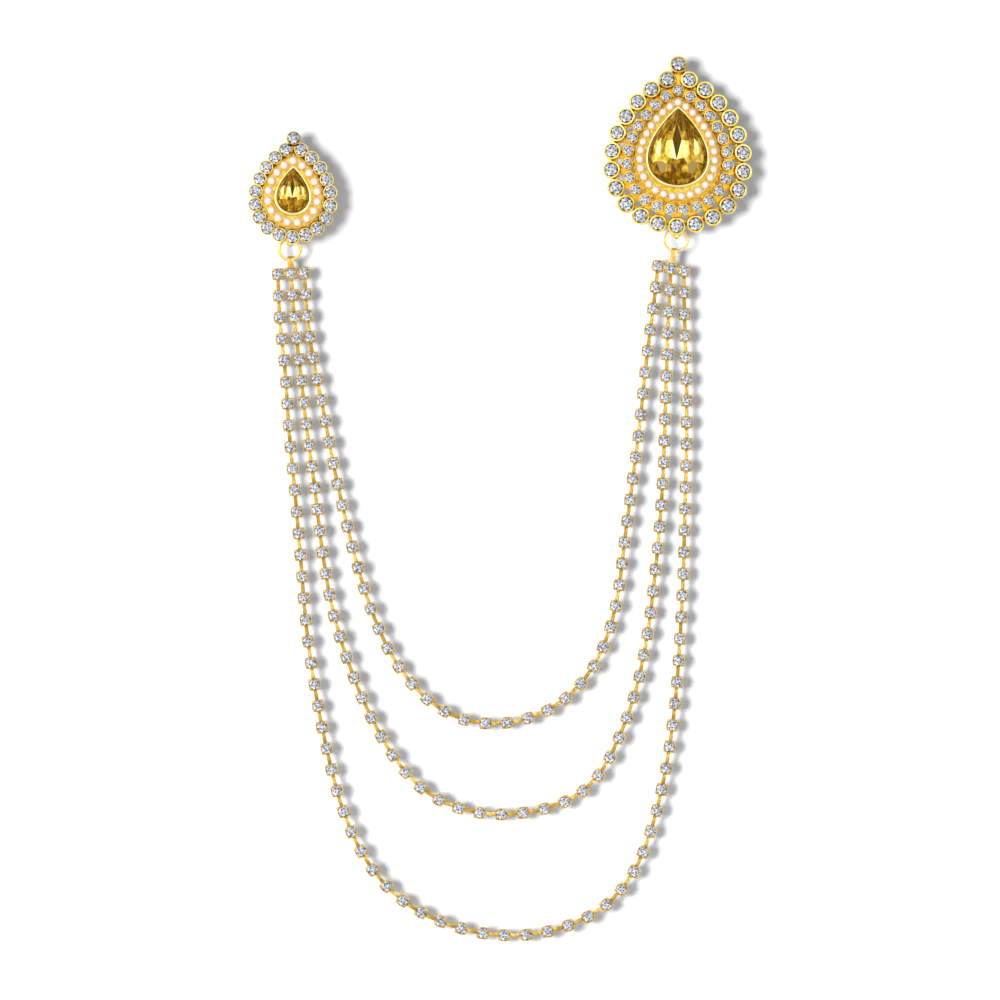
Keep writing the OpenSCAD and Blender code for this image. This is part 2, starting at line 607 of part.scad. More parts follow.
// The strip from a cup at the origin to the next cup, whose centre is l away along x. Its cross head
// lies in the next cup's hollow.
module strip(l) {
    head_at = l - cup_hollow_w / 2 + head_play;
    start = (cup_w - cup_wall) / 2;
    color("gold") translate([0, 0, strip_z]) linear_extrude(strip_t)
        polygon([[start, -strip_w / 2], [head_at, -strip_w / 2], [head_at, -head_w / 2],
            [head_at + head_l, -head_w / 2], [head_at + head_l, head_w / 2], [head_at, head_w / 2],
            [head_at, strip_w / 2], [start, strip_w / 2]]);
}

module on_chain(at, angle) {
    upright() translate([at.x, at.y, hang_h - cup_depth / 2]) rotate(angle) children();
}

// One strand: a slotted cup and its strip at each place between the two headers.
module strand_links(cups) {
    for (i = [1:len(cups) - 2]) {
        ahead = cups[i + 1] - cups[i];
        on_chain(cups[i], angle_of(cups[i + 1] - cups[i - 1])) chain_cup(true);
        on_chain(cups[i], angle_of(ahead)) strip(norm(ahead));
    }
}

module chain_inner() strand_links(inner_cups);

module chain_middle() strand_links(middle_cups);

module chain_outer() strand_links(outer_cups);

// The bar that joins a header's three cups, and the bail on the middle one. y points up to the bail.
module header_body(at, lean, wire, bail_l) {
    hole_r = wire / 2 + wire_play;
    outer_r = hole_r + bail_wall;
    top = cup_w / 2 + bail_l - outer_r;
    color("gold") on_chain(at, lean) {
        translate([-header_pitch, -header_bar_w / 2, cup_floor + cup_hollow_h + eps])
            cube([2 * header_pitch, header_bar_w, stone_z - cup_floor - cup_hollow_h - 2 * eps]);
        translate([0, 0, cup_depth / 2]) rotate([90, 0, 90])
            linear_extrude(bail_w, center = true) difference() {
                union() {
                    translate([top, 0]) circle(outer_r);
                    translate([cup_w / 2 - cup_wall / 2, -outer_r])
                        square([top - cup_w / 2 + cup_wall / 2, 2 * outer_r]);
                }
                translate([top, 0]) circle(hole_r);
                translate([cup_w / 2 + bail_wall, -hole_r])
                    square([top - cup_w / 2 - bail_wall, 2 * hole_r]);
            }
    }
}

module large_header() {
    header_body(large_header_at, -large_header_lean, large_link_wire, large_bail_l);
    for (k = [-1:1]) on_chain(large_cup(k), 90 - large_header_lean) chain_cup(true);
}

module small_header() {
    header_body(small_header_at, small_header_lean, small_link_wire, small_bail_l);
    for (k = [-1:1]) on_chain(small_cup(k), small_header_lean - 90) chain_cup(false);
    for (cups = [inner_cups, middle_cups, outer_cups]) {
        ahead = cups[1] - cups[0];
        on_chain(cups[0], angle_of(ahead)) strip(norm(ahead));
    }
}

large_frame();
large_centre_stone();
large_outer_stones();
large_inner_stones();
large_pearls();
large_pin();
large_jump_ring();
small_frame();
small_centre_stone();
small_stones();
small_pearls();
small_pin();
small_jump_ring();
large_header();
small_header();
chain_inner();
chain_middle();
chain_outer();
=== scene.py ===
"""Looks of the lapel chain: two pear-shaped brooches joined by three swags of cup chain.

Every piece stands where its CAD node does. Sizes are in millimetres in the brooches' own frame, which
lies on its back (x to the right, y up the face, z towards the viewer), until a piece becomes a mesh.
"""

from __future__ import annotations

import json
import logging
import math
from dataclasses import dataclass, field
from enum import Enum

import bmesh
import bpy
import numpy as np
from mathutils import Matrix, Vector

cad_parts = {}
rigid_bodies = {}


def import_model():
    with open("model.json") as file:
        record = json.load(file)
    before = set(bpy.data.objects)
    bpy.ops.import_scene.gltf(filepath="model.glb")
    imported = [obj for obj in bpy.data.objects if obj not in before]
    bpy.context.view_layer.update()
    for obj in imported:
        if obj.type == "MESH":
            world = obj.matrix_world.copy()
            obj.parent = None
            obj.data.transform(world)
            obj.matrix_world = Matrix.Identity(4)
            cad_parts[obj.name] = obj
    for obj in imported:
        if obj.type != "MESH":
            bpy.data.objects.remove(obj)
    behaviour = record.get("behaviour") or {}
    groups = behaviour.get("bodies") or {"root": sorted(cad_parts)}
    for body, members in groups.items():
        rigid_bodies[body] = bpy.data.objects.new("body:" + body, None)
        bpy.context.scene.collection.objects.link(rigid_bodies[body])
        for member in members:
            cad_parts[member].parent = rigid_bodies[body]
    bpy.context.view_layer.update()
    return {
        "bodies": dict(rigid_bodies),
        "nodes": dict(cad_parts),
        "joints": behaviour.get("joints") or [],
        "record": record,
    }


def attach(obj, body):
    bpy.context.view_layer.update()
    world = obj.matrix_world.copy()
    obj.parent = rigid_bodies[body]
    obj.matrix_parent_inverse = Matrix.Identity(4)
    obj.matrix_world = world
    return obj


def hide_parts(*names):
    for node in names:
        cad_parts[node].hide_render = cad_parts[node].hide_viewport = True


LOG = logging.getLogger("lapel_chain")
MM = 0.001
BODY = "root"
SEED = 20

BACK_H = 5.63  # height of the brooches' backs above the pin stems
HANG_H = 4.53  # height of the plane that rings, headers and strands hang in
PLATE_T = 0.8  # thickness of the brooches' pierced plates
CUP_LIFT = 0.4  # height above the backs of the points that the round cups lean about
SEAT_PLAY = 0.13  # play between a piece and its seat
PEARL_FLOOR = 1.7  # height of the floor under the pearls above the backs
PEARL_ROOM = 0.26  # how much wider the pearls' channel is than a pearl
RING_PLAY = 0.25  # play between a jump ring's wire and what it passes through
GEM_POINT = 0.9  # pointedness of the centre stones and their bezels
CROWN_SHARE = 0.17  # height of a crown as a share of its stone's width
TABLE_SHARE = 0.58  # width of a table as a share of its stone's

CUP_SIDES = 36  # sides of an outer cup
INNER_SIDES = 28  # sides of an inner cup
PEAR_STEPS = 160  # points round a channel or a bezel
WEB_GRID = (560, 34)  # points of a plate, round its pears and from the inner one to the outer
GRAINS = 90  # cast beads on a plate


class Slot(Enum):
    """The record's material slots."""

    GOLD = "gold"
    CRYSTAL = "crystal"
    CITRINE = "citrine"
    PEARL = "pearl"


class Tone(Enum):
    """Painted light of a foil-backed stone's facet: its reflections, from 0 for black to 1 for a glint.

    Smoke is a tone of its own: such a facet shows the stone's second colour.
    """

    UMBER = 0.0
    OLIVE = 0.25
    AMBER = 0.48
    GOLD = 0.64
    BRIGHT = 0.84
    GLINT = 0.98
    SMOKE = 2.0


# Frames of reference


def moved(x: np.ndarray | float, y: np.ndarray | float, z: np.ndarray | float) -> np.ndarray:
    """Makes frames that move things.

    Args:
        x: Move along x, or an array with one for each frame.
        y: Move along y, in the same way.
        z: Move along z, in the same way.

    Returns:
        The frames, k by 4 by 4.
    """
    x, y, z = np.broadcast_arrays(*map(np.atleast_1d, (x, y, z)))
    frames = np.tile(np.eye(4), (len(x), 1, 1))
    frames[:, :3, 3] = np.stack([x, y, z], axis=-1)
    return frames


def turned(angle: np.ndarray | float) -> np.ndarray:
    """Makes frames that turn things about z: x' = x cos a - y sin a, y' = x sin a + y cos a.

    Args:
        angle: Angle in radians, or an array with one for each frame.

    Returns:
        The frames, k by 4 by 4.
    """
    a = np.atleast_1d(angle)
    frames = np.tile(np.eye(4), (len(a), 1, 1))
    frames[:, 0, 0] = frames[:, 1, 1] = np.cos(a)
    frames[:, 1, 0] = np.sin(a)
    frames[:, 0, 1] = -np.sin(a)
    return frames


def leaned(angle: float) -> np.ndarray:
    """Makes the frame that leans things about y, so that z tips towards x.

    Args:
        angle: Angle in degrees.

    Returns:
        The frame, 1 by 4 by 4.
    """
    a = math.radians(angle)
    frame = np.eye(4)
    frame[0, 0] = frame[2, 2] = math.cos(a)
    frame[0, 2], frame[2, 0] = math.sin(a), -math.sin(a)
    return frame[None]


# A quarter turn about x, which stands upright what lies on its back: y' = -z and z' = y.
UPRIGHT = np.array([[[1, 0, 0, 0], [0, 0, -1, 0], [0, 1, 0, 0], [0, 0, 0, 1.0]]])


# Shapes


@dataclass(frozen=True)
class Shape:
    """A surface in millimetres. The faces list their corners one after the other.

    Attributes:
        points: The points, n by 3.
        corners: The point of each corner of each face.
        sizes: How many corners each face has.
        tones: The painted light tone of each face, which only stones use.
    """

    points: np.ndarray
    corners: np.ndarray
    sizes: np.ndarray
    tones: np.ndarray

    @classmethod
    def of(cls, points: np.ndarray, *groups: np.ndarray, tones: np.ndarray | None = None) -> "Shape":
        """Makes a shape.

        Args:
            points: The points, n by 3.
            groups: Arrays of faces, each with one number of corners.
            tones: The tone of each face, or None where no stone is meant.

        Returns:
            The shape.
        """
        groups = [np.atleast_2d(np.asarray(g, dtype=int)) for g in groups]
        sizes = np.concatenate([np.full(len(g), g.shape[1]) for g in groups])
        corners = np.concatenate([g.ravel() for g in groups])
        given = np.full(len(sizes), Tone.AMBER.value) if tones is None else np.asarray(tones, dtype=float)
        return cls(np.asarray(points, dtype=float), corners, sizes, given)

    def placed(self, frames: np.ndarray, spread: np.ndarray | None = None) -> "Shape":
        """Copies the shape into each frame.

        Args:
            frames: The frames, k by 4 by 4.
            spread: What is added to the tones, k by the number of faces, or None.

        Returns:
            One shape with all the copies.
        """
        k, n = len(frames), len(self.points)
        points = np.einsum("kij,nj->kni", frames[:, :3, :3], self.points) + frames[:, None, :3, 3]
        corners = (self.corners + n * np.arange(k)[:, None]).ravel()
        tones = np.tile(self.tones, (k, 1))
        tones = tones if spread is None else tones + spread
        return Shape(points.reshape(-1, 3), corners, np.tile(self.sizes, k), tones.ravel())

    @staticmethod
    def joined(*parts: "Shape") -> "Shape":
        """Puts several shapes into one, each as it is.

        Args:
            parts: The shapes.

        Returns:
            One shape with all of them.
        """
        starts = np.cumsum([0] + [len(p.points) for p in parts[:-1]])
        return Shape(
            np.concatenate([p.points for p in parts]),
            np.concatenate([p.corners + s for p, s in zip(parts, starts)]),
            np.concatenate([p.sizes for p in parts]),
            np.concatenate([p.tones for p in parts]),
        )


def grid_faces(rows: int, cols: int, round_rows: bool = False, round_cols: bool = True) -> np.ndarray:
    """Lists the four corners of each face of a grid of rows by cols points.

    Args:
        rows: Number of rows.
        cols: Number of points in a row.
        round_rows: Whether the last row joins the first.
        round_cols: Whether the last point of a row joins the first.

    Returns:
        The faces, an array of four corners each.
    """
    r = np.arange(rows if round_rows else rows - 1)[:, None]
    c = np.arange(cols if round_cols else cols - 1)[None]
    up, right = (r + 1) % rows, (c + 1) % cols
    corner = [r * cols + c, r * cols + right, up * cols + right, up * cols + c]
    return np.stack(np.broadcast_arrays(*corner), axis=-1).reshape(-1, 4)


def capped(rows: np.ndarray) -> Shape:
    """Skins a stack of closed rows of points, and closes both ends with a flat face.

    Args:
        rows: The rows, m by n by 3.

    Returns:
        The closed shape.
    """
    m, n = rows.shape[:2]
    low, high = np.arange(n)[::-1], np.arange(n) + (m - 1) * n
    return Shape.of(rows.reshape(-1, 3), grid_faces(m, n), low[None], high[None])


def revolved(profile: list[tuple[float, float]], sides: int) -> Shape:
    """Turns a profile round z. A point is (r cos a, r sin a, z) for each r and z of the profile.

    Args:
        profile: Radius and height of each step, from the lower end to the upper one.
        sides: Number of sides.

    Returns:
        The closed shape.
    """
    r, z = np.array(profile).T
    a = np.arange(sides) * 2 * np.pi / sides
    r, z = r[:, None], z[:, None]
    return capped(np.stack(np.broadcast_arrays(r * np.cos(a), r * np.sin(a), z), axis=-1))


def swept(path: np.ndarray, across: np.ndarray, up: np.ndarray, section: np.ndarray, closed: bool) -> Shape:
    """Carries a section along a path: point = path + section x times across + section y times up.

    Args:
        path: The path, m by 3.
        across: Direction of the section's x at each point of the path.
        up: Direction of the section's y at each point of the path.
        section: The section's outline, n by 2.
        closed: Whether the path is a loop.

    Returns:
        The closed shape.
    """
    rows = path[:, None] + section[None, :, :1] * across[:, None] + section[None, :, 1:] * up[:, None]
    if closed:
        return Shape.of(rows.reshape(-1, 3), grid_faces(len(path), len(section), round_rows=True))
    return capped(rows)


def rounded_box(w: float, h: float, corner: float, steps: int = 3) -> np.ndarray:
    """Works out the outline of a box whose corners are arcs.

    Args:
        w: Width.
        h: Height.
        corner: Radius of the arcs.
        steps: Points in an arc.

    Returns:
        The outline, n by 2.
    """
    a = np.linspace(0, np.pi / 2, steps)
    turns = np.arange(4)[:, None] * np.pi / 2
    middle_x = (w / 2 - corner) * np.array([1, -1, -1, 1])[:, None]
    middle_y = (h / 2 - corner) * np.array([1, 1, -1, -1])[:, None]
    return np.stack([middle_x + corner * np.cos(a + turns), middle_y + corner * np.sin(a + turns)],
                    axis=-1).reshape(-1, 2)


def bar(length: float, w: float, h: float, corner: float) -> Shape:
    """Builds a bar along x with rounded long edges and chamfered ends, its middle at the origin.

    Args:
        length: Length of the bar.
        w: Width in y.
        h: Height in z.
        corner: Radius of the edges.

    Returns:
        The closed shape.
    """
    inset = 0.7  # how far an end lies inside the full section, as a share of the edges' radius
    x = np.array([-length / 2, corner - length / 2, length / 2 - corner, length / 2])
    small = rounded_box(w - 2 * inset * corner, h - 2 * inset * corner, (1 - inset) * corner)
    full = rounded_box(w, h, corner)
    section = np.stack([small, full, full, small])
    rows = np.concatenate([np.broadcast_to(x[:, None, None], section.shape[:2] + (1,)), section], axis=-1)
    return capped(rows)


def ball(d: float, sides: int, steps: int) -> Shape:
    """Builds a ball with its poles on z, where a small flat closes it.

    Args:
        d: Diameter.
        sides: Sides of its equator.
        steps: Rows of points from pole to pole.

    Returns:
        The closed shape.
    """
    flat = 0.06  # angle from the pole to the edge of the flat
    a = np.linspace(flat, np.pi - flat, steps)
    return revolved([(d / 2 * math.sin(x), -d / 2 * math.cos(x)) for x in a], sides)


# Pears


def pear(w: float, h: float, point: float, t: np.ndarray) -> np.ndarray:
    """Outline of a pear with its tip up.

    The height falls as cos t and the half width grows as sin t times sin(t / 2) raised to the
    pointedness. It is divided by the largest value of that product, so that the width comes out as w.

    Args:
        w: Width.
        h: Height.
        point: Pointedness.
        t: Angles in radians, clockwise from the tip.

    Returns:
        The points, n by 2.
    """
    peak = 2 * ((point + 1) / (point + 2)) ** ((point + 1) / 2) / math.sqrt(point + 2)
    x = w / 2 / peak * np.sin(t) * np.abs(np.sin(t / 2)) ** point
    return np.stack([x, h / 2 * np.cos(t)], axis=-1)


@dataclass(frozen=True)
class Ring:
    """A pear-shaped ring of places.

    Attributes:
        w: Width, centre to centre.
        h: Height, centre to centre.
        point: Pointedness of the tip.
        y: Height of its middle above the brooch's.
        count: Number of places.
        gap: Run left free at the tip, or 0 for a ring with a place at the tip.
    """

    w: float
    h: float
    point: float
    y: float
    count: int
    gap: float = 0.0

    def places(self, shift: float = 0.0, inset: float = 0.0) -> np.ndarray:
        """Gives x, y and the outward angle of each place, at equal steps of the ring's length.

        Args:
            shift: Share of a step by which the places are moved on.
            inset: Distance by which they are moved inwards.

        Returns:
            The places, k by 3.
        """
        reach = 0.2  # run ahead and behind over which the outline's direction is taken
        every_two_degrees = np.linspace(0, 2 * np.pi, 181)
        line = pear(self.w, self.h, self.point, every_two_degrees)
        run = np.concatenate([[0], np.cumsum(np.linalg.norm(np.diff(line, axis=0), axis=1))])
        whole = run[-1]
        steps = self.count - 1 if self.gap else self.count
        s = self.gap / 2 + (np.arange(steps if shift else self.count) + shift) * (whole - self.gap) / steps

        def at(length: np.ndarray) -> np.ndarray:
            """The outline's points at some lengths along it."""
            return np.stack([np.interp(length % whole, run, line[:, k]) for k in (0, 1)], axis=-1)

        ahead = at(s + reach) - at(s - reach)
        outward = np.arctan2(ahead[:, 1], ahead[:, 0]) + np.pi / 2
        middle = at(s) + [0, self.y] - inset * np.stack([np.cos(outward), np.sin(outward)], axis=-1)
        return np.concatenate([middle, outward[:, None]], axis=1)


def lofted(levels: list[tuple[float, float, float, float, float]], steps: int, closed: bool) -> Shape:
    """Skins level pear outlines.

    Args:
        levels: Width, height, pointedness, y and z of each outline, from the outer foot inwards.
        steps: Points in an outline.
        closed: Whether the last outline joins the first, which makes a hollow ring.

    Returns:
        The closed shape.
    """
    t = -np.arange(steps) * 2 * np.pi / steps
    rows = np.stack([
        np.concatenate([pear(w, h, point, t) + [0, y], np.full((steps, 1), z)], axis=1)
        for w, h, point, y, z in levels])
    if closed:
        return Shape.of(rows.reshape(-1, 3), grid_faces(len(levels), steps, round_rows=True))
    return capped(rows)


# Stones


def brilliant(d: float, girdle: float, crown: float, sides: int) -> Shape:
    """A round cut stone with its back at z = 0.

    Rings of eight points, each turned by half a step against the last: a heart inside the table, the
    table's corners, the tips of the star facets, and the girdle. Between them lie the heart, the star,
    the table's sides, the star facets, the kites and the ticks along the girdle.

    Args:
        d: Diameter.
        girdle: Height of the side wall.
        crown: Height from there to the table.
        sides: Points of the girdle, 8 or 16.

    Returns:
        The stone, with a painted light tone for each facet.
    """
    k = np.arange(8)
    nxt = (k + 1) % 8
    whole = k * np.pi / 4
    half = whole + np.pi / 8

    def ring(radius: float, angles: np.ndarray, z: float) -> np.ndarray:
        """Points at a share of the stone's radius, at some angles and one height."""
        return np.stack([d / 2 * radius * np.cos(angles), d / 2 * radius * np.sin(angles),
                         np.full(len(angles), z)], axis=-1)

    top = girdle + crown
    heart_r, star_r = 0.23, 0.79  # reach of the heart and of the star's tips, as shares of the radius
    star_z, dip = 0.52, 0.06  # height of the star's tips and depth of the table's middle, in crowns
    rim = np.arange(16) * np.pi / 8
    reach = np.where(np.arange(16) % 2, 1.0, 1.0 if sides == 16 else math.cos(math.pi / 8))
    edge = ring(1.0, rim, girdle) * np.stack([reach, reach, np.ones(16)], axis=-1)
    points = np.concatenate([
        [[0, 0, top - dip * crown]], ring(heart_r, whole, top), ring(TABLE_SHARE, half, top),
        ring(star_r, whole, girdle + star_z * crown), edge, ring(1.0, rim, 0.0)])
    heart, table, star, upper, lower = 1 + k, 9 + k, 17 + k, 25 + np.arange(16), 41 + np.arange(16)
    back = (k - 1) % 8
    over, wide = np.arange(16), (np.arange(16) + 1) % 16
    groups = [
        np.stack([np.zeros(8, int), heart, heart[nxt]], axis=-1),
        np.stack([heart, table, heart[nxt]], axis=-1),
        np.stack([table[back], table, heart], axis=-1),
        np.stack([table[back], star, table], axis=-1),
        np.stack([table, star, upper[2 * k + 1], star[nxt]], axis=-1),
        np.stack([star, upper[2 * k], upper[2 * k + 1]], axis=-1),
        np.stack([star, upper[2 * k - 1], upper[2 * k]], axis=-1),
        np.stack([lower[over], lower[wide], upper[wide], upper[over]], axis=-1),
        lower[::-1][None],
    ]
    # The tones paint the reflections: light and dark facets in turn round the stone, bright and dark ticks,
    # a dark girdle and back.
    even = np.where(k % 2, 1.0, 0.0)
    tones = [0.66 + 0.3 * even, 0.78 - 0.36 * even, 0.34 + 0.4 * even, 0.86 - 0.5 * even,
             0.96 - 0.3 * even, 0.04 + 0.1 * even, 0.9 - 0.84 * even, np.full(16, 0.2), [0.1]]
    return Shape.of(points, *groups, tones=np.concatenate(tones))


# What a pear stone shows through its table, as painted light: points as shares of half its width and
# half its height, and facets as names of points, each with the tone of the reflections painted on it.
# A name of R and a number is a point on the table's edge, counted from the tip. The other half is the
# mirror image.
GEM_POINTS = {
    "A": (0.0, 0.66), "B": (0.155, 0.17), "C": (0.0, -0.36), "D": (0.37, 0.15), "E": (0.45, -0.2),
    "F": (0.26, -0.31), "G": (0.57, 0.23), "H": (0.7, 0.12), "I": (0.76, -0.18), "J": (0.6, -0.24),
    "K": (0.3, 0.42), "L": (0.36, -0.47), "M": (0.52, -0.41), "N": (0.74, -0.4), "O": (0.4, -0.68),
    "P": (0.0, -0.52), "Q": (0.2, -0.69), "S": (0.0, -0.7), "T": (0.16, 0.4), "U": (0.19, -0.5),
    "V": (0.28, 0.0), "W": (0.12, -0.33), "X": (0.57, -0.73),
}
GEM_FACETS = (
    ("A C B", Tone.UMBER), ("B C W V", Tone.GLINT), ("V W F E D", Tone.BRIGHT), ("B V D", Tone.BRIGHT),
    ("A B T", Tone.AMBER), ("T B D K", Tone.AMBER), ("A T K", Tone.OLIVE), ("A K R2", Tone.OLIVE),
    ("K R3 R2", Tone.OLIVE), ("K R4 R3", Tone.OLIVE), ("K D G", Tone.OLIVE), ("K G R4", Tone.OLIVE),
    ("A R2 R1 R0", Tone.OLIVE), ("D E J G", Tone.AMBER), ("G J I H", Tone.GLINT),
    ("G H R5 R4", Tone.OLIVE), ("H I R6 R5", Tone.GOLD), ("I R7 R6", Tone.AMBER),
    ("E F L M J", Tone.GOLD), ("J M N I", Tone.GOLD), ("I N R8 R7", Tone.GOLD), ("N R9 R8", Tone.OLIVE),
    ("M L O X N", Tone.SMOKE), ("N X R10 R9", Tone.OLIVE), ("C W F L U P", Tone.OLIVE),
    ("P U Q S", Tone.OLIVE), ("U L O Q", Tone.AMBER), ("S Q R11 R12", Tone.OLIVE),
    ("Q O X R10 R11", Tone.OLIVE),
)


@dataclass(frozen=True)
class PearStone:
    """A pear-shaped foil-backed stone, the reflections in its facets painted on as tones.

    Attributes:
        w: Width.
        h: Height.
        low: Height of the girdle's lower edge above the stone's back.
        high: Height of the table above the stone's back.
        point: Pointedness.
        sides: Sides of its girdle.
        edge: Size of the ring of crown facets' inner ends, as a share of the stone's.
        drift: How far what shows through the table lies off its middle, as a share of half its width.
        girdle: Height of the girdle's side wall.
        foot: Size of its back, as a share of the stone's.
        dome: Power of its dome, which is flatter in the middle and steeper at the edge with more.
    """

    w: float
    h: float
    low: float
    high: float
    point: float = GEM_POINT
    sides: int = 24
    edge: float = 0.9
    drift: float = -0.05
    girdle: float = 0.35
    foot: float = 0.3
    dome: float = 2.6

    def _outline(self, share: float) -> np.ndarray:
        """Points of the outline at a share of its size, clockwise from the tip."""
        return pear(2 * share, 2 * share, self.point, np.arange(self.sides) * 2 * np.pi / self.sides)

    def _height(self, spots: np.ndarray) -> np.ndarray:
        """Works out the dome: 1 less a spot's share of the way to the outline, raised to its power.

        Args:
            spots: The spots, as shares of half the width and half the height, n by 2.

        Returns:
            Height of the dome over each spot, from 0 to 1.
        """
        every_degree = np.linspace(-np.pi, np.pi, 361)
        line = pear(2, 2, self.point, every_degree)
        angle = np.arctan2(line[:, 0], line[:, 1])
        reach = np.interp(np.arctan2(spots[:, 0], spots[:, 1]), angle, np.linalg.norm(line, axis=1))
        share = np.linalg.norm(spots, axis=1) / reach
        return 1 - np.clip(share, 0, 1) ** self.dome

    def shape(self, rng: np.random.Generator) -> Shape:
        """Builds the stone. Each facet is a fan round a point inside it, with slightly unlike painted
        tones.

        Args:
            rng: Source of the small differences between facets.

        Returns:
            The stone, with its back at z = 0.
        """
        pull = 0.35  # how far a fan's point lies from its facet's middle towards one of its corners
        unlike, uneven = 0.08, 0.02  # how much the tones in a facet and the points' heights differ
        ring = self._outline(self.edge)
        names = {f"R{i}": i for i in range(self.sides)}
        spots = [tuple(p) for p in ring]
        for side in (1, -1):
            for name, (u, v) in GEM_POINTS.items():
                if side > 0 or u > 0:
                    names[name + ("" if side > 0 else "'")] = len(spots)
                    spots.append((side * u, v))
        faces, tones = [], []
        for side in (1, -1):
            for text, tone in GEM_FACETS:
                ids = [self._named(names, name, side) for name in text.split()][::side]
                middle = np.array([spots[i] for i in ids]).mean(axis=0)
                lure = np.array(spots[ids[rng.integers(len(ids))]])
                spots.append(tuple(middle + pull * (lure - middle)))
                fan = [(a, b, len(spots) - 1) for a, b in zip(ids, ids[1:] + ids[:1])]
                faces += fan
                tones += list(tone.value + rng.uniform(-unlike, unlike, len(fan)))
        flat = np.array(spots)
        flat[self.sides:, 0] += self.drift * (1 - np.abs(flat[self.sides:, 0]))
        rise = self._height(flat)
        rise[self.sides:] += rng.uniform(-uneven, uneven, len(flat) - self.sides)
        scale = [self.w / 2, self.h / 2]
        crown = self.low + self.girdle + (self.high - self.low - self.girdle) * np.clip(rise, 0, 1)
        top = np.concatenate([flat * scale, crown[:, None]], axis=1)
        n = len(top)
        walls = [np.concatenate([self._outline(s) * scale, np.full((self.sides, 1), z)], axis=1)
                 for s, z in ((1.0, self.low + self.girdle), (1.0, self.low), (self.foot, 0.0))]
        k = np.arange(self.sides)
        nxt = (k + 1) % self.sides
        rim = np.concatenate([np.stack([n + nxt, n + k, k], -1), np.stack([n + nxt, k, nxt], -1)])
        # The rim is painted in dark reflections, the sides and back in an even mid tone.
        rim_tones = np.concatenate([rng.uniform(0.05, 0.45, self.sides), rng.uniform(0.1, 0.5, self.sides)])
        sides = np.concatenate([
            np.stack([n + o + nxt, n + o + self.sides + nxt, n + o + self.sides + k, n + o + k], -1)
            for o in (0, self.sides)])
        back = (n + 2 * self.sides + k)[None]
        return Shape.of(np.concatenate([top] + walls), np.array(faces), rim, sides, back,
                        tones=np.concatenate([tones, rim_tones, np.full(len(sides) + 1, 0.3)]))

    def _named(self, names: dict[str, int], name: str, side: int) -> int:
        """Finds a point by its name.

        Args:
            names: Number of each named point.
            name: The name.
            side: 1 for the right half and -1 for the left one.

        Returns:
            The point's number.
        """
        if name.startswith("R"):
            return int(name[1:]) if side > 0 else -int(name[1:]) % self.sides
        return names[name if side > 0 or GEM_POINTS[name][0] == 0 else name + "'"]


# Finishes


def new_group(name: str, ins: dict[str, object], outs: dict[str, str]) -> bpy.types.NodeTree:
    """Makes an empty shader node group.

    Args:
        name: Name of the group.
        ins: Default of each input. A tuple is a colour and a number is a plain value.
        outs: Socket type of each output.

    Returns:
        The group, with its input and output nodes in it.
    """
    tree = bpy.data.node_groups.new(name, "ShaderNodeTree")
    for label, value in ins.items():
        kind = "NodeSocketColor" if isinstance(value, tuple) else "NodeSocketFloat"
        socket = tree.interface.new_socket(name=label, in_out="INPUT", socket_type=kind)
        socket.default_value = value
    for label, kind in outs.items():
        tree.interface.new_socket(name=label, in_out="OUTPUT", socket_type=kind)
    tree.nodes.new("NodeGroupInput")
    tree.nodes.new("NodeGroupOutput")
    return tree


def put(tree: bpy.types.NodeTree, kind: str, ins: dict[str | int, object] | None = None,
        **settings: object) -> bpy.types.Node:
    """Adds a node.

    Args:
        tree: The tree it goes into.
        kind: Its type, without the leading ShaderNode.
        ins: What each input gets: a value, or the socket of another node.
        settings: Its own settings.

    Returns:
        The node.
    """
    node = tree.nodes.new("ShaderNode" + kind)
    for key, value in settings.items():
        setattr(node, key, value)
    for key, value in (ins or {}).items():
        if isinstance(value, bpy.types.NodeSocket):
            tree.links.new(value, node.inputs[key])
        else:
            node.inputs[key].default_value = value
    return node


def colour(rgb: tuple[float, float, float]) -> tuple[float, float, float, float]:
    """A colour with full alpha."""
    return (*rgb, 1.0)


RAY_FINENESS = 11.0  # waves of the rays' noise in a radian
RAY_LENGTH = 240.0  # waves of it in a metre along a ray
SMOKE_FROM = 1.5  # tones above it are smoke


